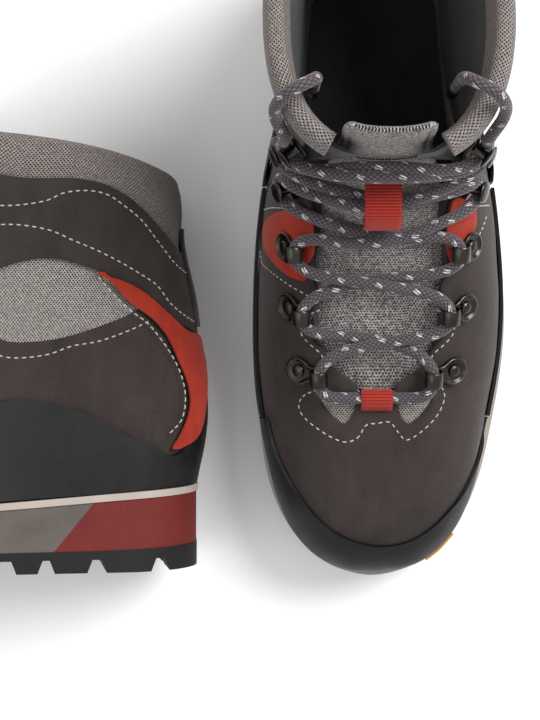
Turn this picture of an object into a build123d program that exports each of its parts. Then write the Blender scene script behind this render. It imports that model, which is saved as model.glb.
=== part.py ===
from build123d import *
import os
import numpy as np

# A pair of mid-height hiking boots, EU 42, in millimetres. The left boot stands on its
# sole with its toe towards -Y; the right boot lies on its outer side beside it.
#
# Every boot is first made as a left boot in its own frame: x to the outer side, y = 0 at
# the back of the heel with the toe towards -y, z up from the ground. "Ahead" below is the
# distance from the back of the heel towards the toe, so y = -ahead.

# ---- driving dimensions ------------------------------------------------------------
LENGTH = 302.0  # outsole, heel to toe
SOLE_BACK = 4.6  # the sole starts this far ahead of the heel bulge
TOE_ROUND = 60.0  # length over which the sole's toe rounds off
HEEL_ROUND = 36.0
UPPER_INSET = 4.0  # the upper's surface lies this far inside the sole's edge at the toe
LUG_DEPTH = 5.5
OUTSOLE_PLATE = 4.0
WELT = 3.0  # thickness of the pale strip between midsole and upper
LEATHER = 2.2  # outer panels lie from -LEATHER to 0
OVERLAY = (0.6, 2.1)  # rubber rands and stitched-on bands lie over them
STIFFENER = (-3.5, -2.7)  # toe puff, heel counter and window mesh lie under the panels
LINING = (-7.0, -4.2)
COLLAR = (-7.0, 0.4)
TONGUE = (-12.6, -8.4)
SEAM = 128.0  # ahead of the heel, where shaft panels meet forefoot panels
THROAT_END = 226.0
LACE = 5.0
RIVET_HEAD = 12.5
LOOP_BORE = 6.2
LOOP_WALL = 0.9
LOOP_LENGTH = 6.5
LOOP_STAND = 1.6  # the loops' plates lie this far over the panels, on the patch

# ---- where the two boots stand, in the frame of the pair ----------------------------
LEFT_AT = (156.5, 151.1)  # middle of the heel's back
RIGHT_AT = (81.6, -145.2, 34.8)
# The right boot rests on its ankle band and the widest part of its sole, which lifts its
# toe: these are the ways its inner side and its top face.
RIGHT_INNER_SIDE = (0.1474, -0.0211, 0.9889)
RIGHT_UP = (0.0031, 0.9998, 0.0208)

FAN_AXIS = (192.0, 205.0)  # ahead and height of the axis from which the throat is fanned out


class Profile:
    """A smooth line of value against position through points set by hand."""

    def __init__(self, *points):
        self.at, self.value = np.array(points, float).T
        gap = np.diff(self.at)
        slope = np.diff(self.value) / gap
        count = len(self.at)
        rows = np.eye(count)
        right = np.zeros(count)
        for i in range(1, count - 1):
            rows[i, i - 1 : i + 2] = gap[i - 1], 2 * (gap[i - 1] + gap[i]), gap[i]
            right[i] = 6 * (slope[i] - slope[i - 1])
        self.bend = np.linalg.solve(rows, right)

    def __call__(self, where):
        where = np.clip(where, self.at[0], self.at[-1])
        i = np.clip(np.searchsorted(self.at, where) - 1, 0, len(self.at) - 2)
        gap = self.at[i + 1] - self.at[i]
        b = (where - self.at[i]) / gap
        a = 1 - b
        bent = (a**3 - a) * self.bend[i] + (b**3 - b) * self.bend[i + 1]
        return a * self.value[i] + b * self.value[i + 1] + bent * gap**2 / 6


# ---- the shape of the last, as lines along the boot ---------------------------------
MEDIAL = Profile(
    (0, 36), (40, 38), (80, 40), (115, 43), (150, 48), (190, 52), (225, 51), (250, 48.5), (302, 46)
)
LATERAL = Profile(
    (0, 37), (40, 40), (80, 45), (115, 51), (150, 57.5), (190, 60.7), (225, 56.5), (250, 51.5), (302, 47)
)
# Half widths of the upper, which overhangs the sole at the arch and draws in at both ends.
UPPER_MEDIAL = Profile(
    (0, 32), (40, 34), (80, 38), (115, 45.5), (150, 50.3), (190, 51.8), (225, 49.8), (250, 45.5), (302, 42)
)
UPPER_LATERAL = Profile(
    (0, 33), (40, 36), (80, 41), (115, 49.5), (150, 55), (190, 57), (225, 52.5), (250, 47.5), (302, 43)
)
TOP = Profile(
    (0, 112), (60, 118), (110, 124), (150, 116), (182, 99.5), (205, 89), (226, 81), (250, 74),
    (275, 69.5), (302, 66),
)
WELT_TOP = Profile(
    (0, 36.5), (40, 34.5), (74, 32), (120, 29), (170, 25.5), (215, 24.5), (260, 28), (302, 35)
)
GROUND = Profile((0, 0), (120, 0), (215, 0), (245, 1.6), (275, 5.5), (302, 11.5))
BACK = Profile(
    (30, 11), (40, 9.5), (52, 7), (65, 5), (78, 4.4), (90, 5), (101, 6.4), (116, 8.2), (131, 11.6),
    (147, 14.4), (163, 14.0), (172, 14.6), (210, 20),
)
FRONT = Profile(
    (30, 120), (80, 150), (105, 153), (120, 147), (140, 137), (160, 132), (190, 129.5), (210, 129)
)
SHAFT_HALF = Profile(
    (30, 30), (60, 36), (85, 39), (105, 40.5), (130, 42.5), (160, 45), (190, 48), (210, 49)
)


def rounding(ahead, start, length, power):
    """How much narrower an outline gets over its last length, from 1 down to 0."""
    beyond = np.clip((ahead - start) / length, 0, 1)
    return (1 - beyond**power) ** (1 / power)


def sole_edge(ahead, side):
    """Half width of the sole on the outer (side 1) or inner (side -1) half."""
    width = LATERAL(ahead) if side > 0 else MEDIAL(ahead)
    toe = rounding(ahead, LENGTH - TOE_ROUND, TOE_ROUND, 2.1)
    heel = rounding(HEEL_ROUND + SOLE_BACK - ahead, 0.0, HEEL_ROUND, 2.1)
    return width * toe * heel


def inside(x, ahead, z):
    """Above 0 inside the upper's outer surface, 0 on it, below 0 outside, roughly in mm."""
    side = np.where(x > 0, UPPER_LATERAL(ahead), UPPER_MEDIAL(ahead))
    low = WELT_TOP(ahead) + 6
    across = np.abs(x) / side
    up = np.clip(z - low, 0, None) / (TOP(ahead) - low)
    toe = np.clip(ahead - 240, 0, None) / (LENGTH - UPPER_INSET - 240)
    heel = np.clip(36 - (ahead - BACK(z)), 0, None) / 36
    foot = (1 - (across**2.5 + up**2.35 + toe**2.35 + heel**2.35) ** (1 / 2.4)) * 48
    half = (FRONT(z) - BACK(z)) / 2
    along = np.abs(ahead - BACK(z) - half) / half
    shaft = (1 - (along**2.35 + (np.abs(x) / SHAFT_HALF(z)) ** 2.35) ** (1 / 2.35)) * 44
    blend = np.clip(14 - np.abs(foot - shaft), 0, None)
    return np.maximum(foot, shaft) + blend**2 / 56


def slope(point):
    """Unit normals pointing out of the surface at points of shape (n, 3)."""
    step = 0.05
    parts = []
    for axis in range(3):
        shift = np.zeros(3)
        shift[axis] = step
        low, high = point - shift, point + shift
        parts.append(inside(*low.T) - inside(*high.T))
    normal = np.stack(parts, 1)
    return normal / np.linalg.norm(normal, axis=1, keepdims=True)


def surface(start, ray, level, across, outward=True):
    """Where rays from start meet the surface, then moved by level away from it.

    Rays and the move stay in the wire's plane, whose normal is across."""
    start, ray = np.asarray(start, float), np.asarray(ray, float)
    across = np.asarray(across, float)
    near, end = np.zeros(len(start)), np.full(len(start), 170.0)
    for _ in range(30):
        middle = (near + end) / 2
        point = start + ray * middle[:, None]
        value = inside(*point.T)
        beyond = value < 0 if outward else value > 0
        end = np.where(beyond, middle, end)
        near = np.where(beyond, near, middle)
    point = start + ray * near[:, None]
    normal = slope(point)
    flat = normal - np.outer(normal @ across, across)
    length = np.clip(np.linalg.norm(flat, axis=1, keepdims=True), 1e-6, None)
    return point + flat / length * (level / np.clip(length, 0.42, None))


def column(turn, low, high, level, axis=SEAM, forward=False, count=9):
    """Points up the wall in the upright plane at this angle about an upright axis.

    Turn is measured from the heel (or from the toe if forward), outer side positive."""
    heights = np.linspace(low, high, count)
    way = 1.0 if forward else -1.0
    out, back = np.sin(np.radians(turn)), way * np.cos(np.radians(turn))
    ray = np.tile([out, back, 0.0], (count, 1))
    start = np.stack([np.zeros(count), np.full(count, axis), heights], 1)
    return surface(start, ray, level, (back, -out, 0.0))


LOWEST = -1.0  # the angle of an arch's point just above the welt


def arch(ahead, first, last, level, count=13):
    """Points over the boot in the plane across it, from one angle to another (0 is outer side)."""
    angles = np.radians(np.linspace(first, last, count))
    start = np.tile([0.0, ahead, WELT_TOP(ahead) + 1.0], (count, 1))
    ray = np.stack([np.cos(angles), np.zeros(count), np.sin(angles)], 1)
    return surface(start, ray, level, (0.0, 1.0, 0.0))


def fan(turn, half, level, count=9, centre=0.0):
    """Points across the front of the throat, seen from an axis ahead of the instep."""
    xs = np.linspace(-half, half, count) + centre
    start = np.stack([xs, np.full(count, FAN_AXIS[0]), np.full(count, FAN_AXIS[1])], 1)
    back, down = np.cos(np.radians(turn)), np.sin(np.radians(turn))
    ray = np.tile([0.0, -back, -down], (count, 1))
    return surface(start, ray, level, (0.0, down, -back), outward=False)


def vector(point):
    return Vector(point[0], -point[1], point[2])


def band_wire(outer, inner):
    """A closed thin wire: along the outer points and back along the inner ones."""
    outer = [vector(p) for p in outer]
    inner = [vector(p) for p in inner][::-1]
    edges = [Edge.make_spline(outer), Edge.make_line(outer[-1], inner[0])]
    edges += [Edge.make_spline(inner), Edge.make_line(inner[-1], outer[0])]
    return Wire(edges)


def skin(line, stations, levels):
    """A shell between two levels through wires; line(station, level) gives a wire's points."""
    low, high = levels
    return Solid.make_loft([band_wire(line(s, high), line(s, low)) for s in stations])


def spread(first, last, count):
    return [first + (last - first) * i / (count - 1) for i in range(count)]


def wall(low, high, turns, levels, **options):
    """A shell between two lines of height against turn, through upright wires."""

    def line(turn, level):
        return column(turn, low(turn), high(turn), level, **options)

    return skin(line, turns, levels)


def constant(value):
    return lambda _: value


def turn_of(ahead, z, axis=SEAM):
    """The angle from the heel at which the wall is this far ahead, on the outer side."""
    turns = np.linspace(0.5, 89.9, 120)
    rays = np.stack([np.sin(np.radians(turns)), -np.cos(np.radians(turns)), turns * 0], 1)
    starts = np.tile([0.0, axis, z], (len(turns), 1))
    reach = surface(starts, rays, 0.0, (0.0, 0.0, 1.0))[:, 1]
    return float(np.interp(ahead, reach, turns))


def line_of(*points):
    """A line of height against turn, mirrored to both sides, from (ahead, z) points."""
    pairs = sorted({(round(turn_of(a, z), 3) if a > 0 else 0.0, z) for a, z in points})
    both = [(-t, z) for t, z in pairs if t > 0][::-1] + pairs
    return Profile(*both)


# ---- the sole ----------------------------------------------------------------------
def outline(grow=0.0, across=1.0, along=1.0):
    """The sole's plan as a closed smooth face at z = 0, which may be scaled about its middle."""
    count = 26
    ease = [(1 - np.cos(np.pi * i / count)) / 2 for i in range(count + 1)]
    aheads = [SOLE_BACK + (LENGTH - SOLE_BACK) * e for e in ease]
    outer = [(sole_edge(a, 1) + grow, a) for a in aheads[1:-1]]
    inner = [(-sole_edge(a, -1) - grow, a) for a in aheads[1:-1]][::-1]
    ring = [(0.0, SOLE_BACK - grow)] + outer + [(0.0, LENGTH + grow)] + inner
    middle = (LENGTH + SOLE_BACK) / 2
    places = [Vector(x * across, -middle - (a - middle) * along, 0) for x, a in ring]
    return Face(Wire([Edge.make_spline(places, periodic=True)]))


def slab(low, high, grow=0.0, across=1.0, along=1.0):
    """The sole's plan between two lines of height against ahead."""
    column_of_sole = extrude(outline(grow, across, along), 90, dir=(0, 0, 1))
    stations = spread(-5, LENGTH + 8, 17)
    below = [Vector(0, -a, low(a)) for a in stations]
    above = [Vector(0, -a, high(a)) for a in stations][::-1]
    edges = [Edge.make_spline(below), Edge.make_line(below[-1], above[0])]
    edges += [Edge.make_spline(above), Edge.make_line(above[-1], below[0])]
    side = Face(Wire(edges))
    block = extrude(side.moved(Location((-80, 0, 0))), 160, dir=(1, 0, 0))
    return (column_of_sole & block).solids()[0]


def welt_low(ahead):
    return WELT_TOP(ahead) - WELT


def outsole_top(ahead):
    return GROUND(ahead) + LUG_DEPTH + OUTSOLE_PLATE - 0.4 + 1.6 * np.clip(1 - ahead / 60, 0, 1)


def groove(ahead, width, depth):
    """A cutter across the sole: a slot with sloping sides, open at the ground."""
    half = width / 2
    top = GROUND(ahead) + depth
    corners = [(half + 2.0, -8.0), (half + 1.2, GROUND(ahead)), (half - 1.0, top)]
    ring = [Vector(-90, -ahead - a, z) for a, z in corners]
    ring += [Vector(-90, -ahead + a, z) for a, z in corners[::-1]]
    return extrude(Face(Wire.make_polygon(ring)), 180, dir=(1, 0, 0))


def make_outsole():
    # The flat part of the tread is cut plane, so its lugs stand on one level.
    plate = slab(lambda a: GROUND(a) - 0.4, outsole_top) & Pos(0, -150, 50) * Box(200, 400, 100)
    heel = ((24, 6), (52, 6), (74, 5), (101, 26))
    front = [(first, 6) for first in range(131, 284, 19)]
    cuts = [groove(place, width, LUG_DEPTH) for place, width in (*heel, *front)]
    centre = Pos(0, -54, LUG_DEPTH / 2 - 4) * Box(9, 70, LUG_DEPTH + 8)
    ahead = Pos(2, -205, LUG_DEPTH / 2 - 4) * Box(10, 170, LUG_DEPTH + 8)
    for cut in cuts + [centre, ahead]:
        plate = plate - cut
    return plate.solids().sort_by(SortBy.VOLUME)[-1]


def split_line():
    """The slanted cut between the heel wedge and the front midsole, as a big box ahead of it."""
    lean = np.degrees(np.arctan2(16.5, 20))
    block = Pos(0, -400, 0) * Box(200, 800, 900)
    return Pos(0, -62.8, 19) * (Rot(-lean, 0, 0) * block)


def make_midsoles():
    whole = slab(outsole_top, welt_low, grow=-0.6)
    ahead = split_line()
    return (whole - ahead).solids()[0], (whole & ahead).solids()[0]


def flat_insert(low, high, across=0.72, along=0.9):
    """A layer over the welt inside the upper."""
    return slab(lambda a: WELT_TOP(a) + low, lambda a: WELT_TOP(a) + high, across=across, along=along)


def make_shank():
    strip = flat_insert(2.4, 3.5) & Pos(1, -125, 30) * Box(18, 130, 60)
    return strip.solids()[0]


# ---- lines of the panels, as (ahead, height) points ----------------------------------
RAND_TOP = line_of(
    (0, 93), (3, 86), (6, 70), (12, 55), (20, 52), (31, 55.5), (42, 61), (53, 67), (73, 74), (98, 74),
    (127, 58),
)
BAND_TOP = line_of(
    (0, 137), (16, 140), (24, 148.4), (32.7, 157), (41.7, 163.8), (50, 167.7), (62, 169.9), (85, 170),
    (112, 176), (126, 179),
)
BAND_LOW = line_of(
    (0, 102), (9, 104), (19.4, 110), (28.4, 118), (36, 123.4), (46.4, 128), (55, 131.6), (74, 135.9),
    (100, 134), (120, 122), (127, 118),
)
COLLAR_TOP = line_of((0, 172), (20, 175), (45, 182), (75, 187), (105, 190), (124, 191))
REAR_TOP = line_of(
    (8, 97), (16, 99), (28, 105), (34, 111.4), (38.7, 110.3), (50, 107), (63, 102.8), (74, 100.5),
    (92, 100.5), (103, 108), (112, 121), (127, 117),
)

# The toe rand's upper edge in plan, as (to the outer side, ahead), from inner to outer side.
RAND_PLAN = (
    (-46.0, 231), (-42.4, 245), (-37, 257), (-29.5, 268), (-21.5, 277), (-12, 283), (1, 286.5),
    (13.5, 285), (22.5, 280.5), (33, 270.5), (41.5, 259), (46.8, 248), (50.6, 238), (52.0, 231),
)
RAND_AXIS = 232.0
SIDE_RAND_TOP = Profile((128, 58), (145, 53), (165, 49), (190, 46), (231, 45))


def height_at(x, ahead):
    """Height of the upper's surface over a point of the plan."""
    return surface([[x, ahead, 30.0]], [[0.0, 0.0, 1.0]], 0.0, (0.0, 1.0, 0.0))[0][2]


def toe_rand_line():
    return Profile(
        *[(float(np.degrees(np.arctan2(x, a - RAND_AXIS))), height_at(x, a)) for x, a in RAND_PLAN]
    )


def both_sides(turns):
    return sorted([-t for t in turns] + [t for t in turns if t > 0.01])


def around(last, z, count=9):
    """Angles right round the heel, out to a distance ahead on both sides."""
    aheads = [BACK(z) + 0.3 + (last - BACK(z)) * (i / count) ** 1.5 for i in range(1, count + 1)]
    aheads[-1] = last
    return both_sides([0.0] + [turn_of(a, z) for a in aheads])


def welt_of(turn, above=1.0, **axis):
    """Height just over the welt where the wall stands at this angle."""
    ahead = column(turn, 45, 46, 0.0, count=2, **axis)[0][1]
    return WELT_TOP(ahead) + above


def side_angle(ahead, x):
    """Angle of an arch at which the surface lies this far to the outer side."""
    angles = np.linspace(20, 160, 141)
    points = arch(ahead, 20, 160, 0.0, count=141)
    return float(np.interp(x, points[::-1, 0], angles[::-1]))


THROAT_HALF = Profile(
    (128, 35), (134, 32.5), (140, 30.5), (156, 30.5), (182, 29.5), (200, 26), (212, 21), (220, 15), (226, 10)
)


def quarter(side, levels, clear=0.0):
    """A forefoot side panel from the welt up to the throat's edge."""

    def line(ahead, level):
        edge = side_angle(ahead, side * (THROAT_HALF(ahead) + clear))
        return arch(ahead, LOWEST if side > 0 else 180 - LOWEST, edge, level)

    return skin(line, spread(SEAM + 0.3, THROAT_END, 9), levels)


def cap(levels, first, last, above=0.0):
    """A forefoot panel right over the toe, from welt to welt."""

    def line(ahead, level):
        return arch(ahead, LOWEST + above, 180 - LOWEST - above, level, count=17)

    return skin(line, spread(first, last, 9), levels)


def side_wall(side, low, high, turns, levels):
    turns = sorted(side * t for t in turns)
    return wall(low, high, turns, levels)


def make_sweep(side):
    """The nubuck sweep on one side: upright crescent at the heel, running up and ahead."""
    rear = Profile(
        (53, 16.5), (56, 10.8), (62, 7), (70, 5.2), (82, 4.4), (92, 3.6), (94, 3.2), (101, 5.4),
        (104.5, 13), (110, 19.8), (118, 28.8), (123.4, 36.4), (128, 46.6), (130, 50),
    )
    fore = Profile(
        (53, 19), (56, 17.8), (62, 14.6), (70, 12.2), (80, 12.5), (90, 16.4), (100, 21), (109, 28),
        (113, 33), (116.5, 38.3), (122.6, 44.3), (128, 50), (130, 53),
    )
    heights = [53, 56, 61, 68, 76, 84, 91, 94.5, 98, 101, 104.5, 110, 116, 122, 127, 130]

    def line(z, level):
        first = 0.6 if 93.5 < z < 102 else turn_of(rear(z), z)
        last = turn_of(fore(z), z)
        turns = np.radians(side * np.linspace(first, last, 7))
        start = np.tile([0.0, SEAM, z], (7, 1))
        ray = np.stack([np.sin(turns), -np.cos(turns), np.zeros(7)], 1)
        return surface(start, ray, level, (0.0, 0.0, 1.0))

    return skin(line, heights, (2.4, 3.4))


def make_eyestay_patch(side):
    """The nubuck patch behind the third lace loop on one side."""
    inner = Profile((142, 33), (150, 33.6), (160, 33), (170, 31.5))
    outer = Profile((142, 41), (150, 44), (160, 43), (170, 37))

    def line(ahead, level):
        first = side_angle(ahead, side * inner(ahead))
        last = side_angle(ahead, side * outer(ahead))
        return arch(ahead, first, last, level, count=7)

    return skin(line, spread(142, 170, 6), (0.4, 1.2))


def low_side_rand(side):
    """The rubber strip along one side, between the heel and toe rands."""
    first, last = (LOWEST, 80) if side > 0 else (180 - LOWEST, 100)
    angles = np.linspace(first, last, 82)

    def line(ahead, level):
        heights = arch(ahead, first, last, 0.0, count=82)[:, 2]
        edge = float(np.interp(SIDE_RAND_TOP(ahead), heights, angles))
        return arch(ahead, first, edge, level, count=7)

    return skin(line, spread(SEAM + 0.6, 230.0, 7), OVERLAY)


def make_rand_toe():
    line = toe_rand_line()
    turns = spread(line.at[0], line.at[-1], 19)
    options = dict(axis=RAND_AXIS, forward=True)
    toe = wall(lambda t: welt_of(t, **options), line, turns, OVERLAY, **options)
    return [toe, low_side_rand(1), low_side_rand(-1)]


# Corners in plan of the mesh window beside the toe loop, outer side.
WINDOW = ((8, 234), (27, 224), (27, 231), (17, 241), (9.5, 242))


def window_prism(side, grow=0.0):
    middle = np.mean(WINDOW, axis=0)
    ring = []
    for corner in WINDOW:
        away = np.array(corner) - middle
        x, ahead = middle + away * (1 + grow / np.linalg.norm(away))
        ring.append(Vector(side * x, -ahead, 40))
    return extrude(Face(Wire.make_polygon(ring)), 60, dir=(0, 0, 1))


def make_window_mesh(side):
    """The mesh under one window of the vamp."""
    whole = cap(STIFFENER, 219, 247)
    return (whole & window_prism(side, 2.5)).solids()[0]


def make_vamp():
    vamp = cap((-LEATHER, 0), THROAT_END + 0.4, 293)
    for side in (1, -1):
        vamp = vamp - window_prism(side)
    return vamp.solids().sort_by(SortBy.VOLUME)[-1]


# ---- the tongue, seen from an axis ahead of the instep --------------------------------
TONGUE_WIDE = Profile(
    (-4, 20), (20, 23), (42, 26), (58, 34), (70, 36), (90, 34), (105, 24), (112, 18)
)


def make_tongue_part(first, last, count):
    def line(turn, level):
        return fan(turn, TONGUE_WIDE(turn), level, count=11)

    return skin(line, spread(first, last, count), TONGUE)


# ---- hardware ------------------------------------------------------------------------
# Places of the lace loops as (ahead, distance out of the barrel, of the rivet).
LOOPS = ((209.0, 22.5, 32.5), (182.0, 27.5, 36.5), (156.5, 28.5, 38.0))
# The lowest hook stands on the instep, at (ahead, distance out), and the others higher on
# the shaft, at (height, angle from the heel).
LOW_HOOK = (133.0, 36.0)
HIGH_HOOKS = ((131.0, 75.0), (153.0, 74.0))
HOOKS = (LOW_HOOK,) + HIGH_HOOKS


def frame_at(point, normal, along):
    """A plane on the surface: z out of it, x as near as can be to the given direction."""
    return Plane(origin=vector(point), x_dir=vector(along), z_dir=vector(normal))


def make_loop(ahead, barrel, rivet, side):
    """A riveted loop of folded sheet: round head, tapering neck, short barrel for the lace."""
    head = arch(ahead, *[side_angle(ahead, side * rivet)] * 2, 0.0, count=2)[:1]
    normal = slope(head)[0]
    inward = np.array([-side, 0.0, 0.0])
    inward = inward - normal * np.dot(inward, normal)
    inward /= np.linalg.norm(inward)
    reach = (rivet - barrel) * 1.12
    with_lace = np.cross(normal, inward)
    place = frame_at(head[0] + normal * LOOP_STAND, normal, inward)
    disc = Pos(0, 0, 0.6) * Cylinder(RIVET_HEAD / 2, 1.2)
    dome = Pos(0, 0, 1.2) * Sphere(2.9) & Pos(0, 0, 2.7) * Box(8, 8, 3)
    neck_face = make_face(Polyline((0, -5.2), (reach - 1, -2.8), (reach - 1, 2.8), (0, 5.2), close=True))
    neck = extrude(neck_face, 1.2)
    outer = LOOP_BORE / 2 + LOOP_WALL
    lift = outer + 0.2
    tube = Cylinder(outer, LOOP_LENGTH) - Cylinder(LOOP_BORE / 2, LOOP_LENGTH + 2)
    tube = Pos(reach + 1.6, 0, lift) * (Rot(90, 0, 0) * tube)
    bore = Pos(reach + 1.6, 0, lift) * (Rot(90, 0, 0) * Cylinder(LOOP_BORE / 2, LOOP_LENGTH + 12))
    body = (disc + neck + tube) - bore + dome
    return (place * body).solids()[0], head[0], normal, inward, with_lace, reach, lift


# The lace's tucked-in end, over the collar's edge and down inside it, as (x, ahead, z).
LACE_TAIL = (
    (45.5, 110.0, 186.0), (40.5, 105.0, 203.0), (30.0, 100.0, 203.0), (28.0, 97.0, 188.0),
    (28.5, 96.0, 168.0), (28.5, 96.0, 148.0),
)


def route_point(x, ahead, z):
    return np.array([x, ahead, z], float)


def over_tongue(turn, x, above):
    """A point this far above the tongue's outer face, in the fan's plane at this angle."""
    return fan(turn, 0.01, TONGUE[1] + above, count=2, centre=x)[0]


def barrel_of(loop, side):
    """Centre of a loop's barrel and the direction of the lace through it, towards the heel."""
    _, head, normal, inward, with_lace, reach, lift = make_loop(*loop, side)
    centre = head + normal * (LOOP_STAND + lift) + inward * (reach + 1.6)
    along = with_lace if with_lace[1] < 0 else -with_lace
    return centre, along


def hook_place(hook):
    """Foot of a hook on the outer side: point, normal, and the unit direction up the boot."""
    if hook == LOW_HOOK:
        ahead, out = hook
        foot = arch(ahead, *[side_angle(ahead, out)] * 2, 0.3, count=2)[:1]
        way = np.array([0.0, -1.0, 0.8])
    else:
        z, turn = hook
        foot = column(turn, z, z + 1, OVERLAY[1], count=2)[:1]
        way = np.array([0.0, 0.0, 1.0])
    normal = slope(foot)[0]
    up = way - normal * np.dot(normal, way)
    return foot[0], normal, up / np.linalg.norm(up)


SHAFT_EDGE = 79.0  # angle from the heel of the shaft's front edges
HOOK_POST = 4.0  # diameter
HOOK_REACH = 6.0  # clear height of the post for the lace


def make_hook(hook):
    """A riveted stud with a flat head, on the outer side."""
    foot, normal, up = hook_place(hook)
    place = frame_at(foot + normal * 0.15, normal, up)
    base = Pos(0, 0, 0.5) * Cylinder(5.2, 1.0)
    post = Pos(0, 0, 1 + HOOK_REACH / 2) * Cylinder(HOOK_POST / 2, HOOK_REACH)
    head = Pos(0, 0, 1.6 + HOOK_REACH) * Cylinder(4.6, 1.2)
    return (place * (base + post + head)).solids()[0]


def mirrored(point):
    return point * np.array([-1.0, 1.0, 1.0])


CROSS_LOW, CROSS_HIGH = 4.6, 10.2  # a strand's axis above the tongue, under and over a crossing
CROSSINGS = (92.5, 79.0, 69.0, 57.5, 36.0)  # fan angles of the crossings, toe end first


def lace_side(side):
    """The lace from the toe loop to its tucked-in end, starting on one side.

    It runs through three loops and round three hooks, and changes side after each."""
    points = []
    at = side
    for number in range(3):
        centre, along = barrel_of(LOOPS[number], at)
        points += [centre - along * 8.5, centre + along * 8.5]
        above = CROSS_LOW if (at > 0) == (number % 2 == 0) else CROSS_HIGH
        points.append(over_tongue(CROSSINGS[number], at * 1.5, above))
        at = -at
    for number, hook in enumerate(HOOKS):
        foot, normal, up = hook_place(hook)
        middle = foot + normal * (1.3 + HOOK_REACH / 2)
        ahead = np.cross(normal, up)
        ahead = ahead if ahead[0] < 0 else -ahead
        here = [middle + ahead * 9.5 - up * 5.6, middle - ahead * 5.2 - up * 5.0]
        here += [middle - ahead * 5.2 + up * 5.0, middle + ahead * 9.5 + up * 5.6]
        if number == 2:
            here = here[:3] + [middle - ahead * 4.6 + up * 15.0]
        points += [p if at > 0 else mirrored(p) for p in here]
        if number < 2:
            above = CROSS_LOW if (at > 0) == (number % 2 == 0) else CROSS_HIGH
            points.append(over_tongue(CROSSINGS[3 + number], at * 1.5, above))
            at = -at
    tail = [route_point(*place) for place in LACE_TAIL]
    points += [p if at > 0 else mirrored(p) for p in tail]
    return points


def lace_route():
    one = lace_side(1)
    other = lace_side(-1)
    toe = [route_point(-9, 221.5, 83.5), route_point(9, 221.5, 83.5)]
    return other[::-1] + toe + one


def tube_along(points, diameter):
    """A round cord along runs joined by arcs as large as the runs allow."""
    places = [vector(p) for p in points]
    radii = []
    for before, here, after in zip(places, places[1:], places[2:]):
        run = min((here - before).length, (after - here).length)
        turn = (here - before).get_angle(after - here)
        radii.append(0.45 * run / np.tan(np.radians(max(turn, 0.5) / 2)))
    radii = [min(r, 400.0) for r in radii]
    print("cord radii", [round(r, 1) for r in radii])
    path = FilletPolyline(*places, radius=radii)
    start = Plane(origin=path @ 0, z_dir=path % 0)
    tube = sweep(start * Circle(diameter / 2), path=path)
    share = tube.volume / (path.length * np.pi * diameter**2 / 4)
    print("cord length", round(path.length, 1), "its volume over section times length", round(share, 4))
    return tube


KEEPER = (50.0, 64.0)  # fan angles of the keeper's two ends
KEEPER_HALF = 7.5
KEEPER_RISE = 15.2  # its underside stands this far above the tongue, over the crossed laces
WEBBING = 1.3


def make_keeper():
    """The webbing loop sewn on the tongue, bridging the lace crossing."""
    first, last = KEEPER

    def line(turn, level):
        part = (turn - first) / (last - first)
        rise = KEEPER_RISE * (1 - abs(2 * part - 1) ** 3.0)
        return fan(turn, KEEPER_HALF, TONGUE[1] + 0.3 + rise + level, count=11)

    return skin(line, spread(first, last, 13), (0.0, WEBBING))


TOE_LOOP = (0.0, 221.5, 83.5)  # axis of the lace through the toe loop, at its middle
TOE_LOOP_WIDE = 13.5


def make_toe_loop():
    """The webbing loop at the throat's toe end: a sleeve round the lace and a sewn-down tail."""
    x, ahead, z = TOE_LOOP
    bore = LACE / 2 + 0.35
    sleeve = Cylinder(bore + WEBBING, TOE_LOOP_WIDE) - Cylinder(bore, TOE_LOOP_WIDE + 2)
    sleeve = Pos(x, -ahead, z) * (Rot(0, 90, 0) * sleeve)
    return sleeve.solids()[0]


def make_aglet(points, diameter):
    """The stiff sheath on the lace's end, in line with its last run."""
    end, before = vector(points[-1]), vector(points[-2])
    way = (end - before).normalized()
    place = Plane(origin=end, z_dir=way)
    return (place * Pos(0, 0, 10) * Cylinder(diameter / 2 - 0.2, 20)).solids()[0]


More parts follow.
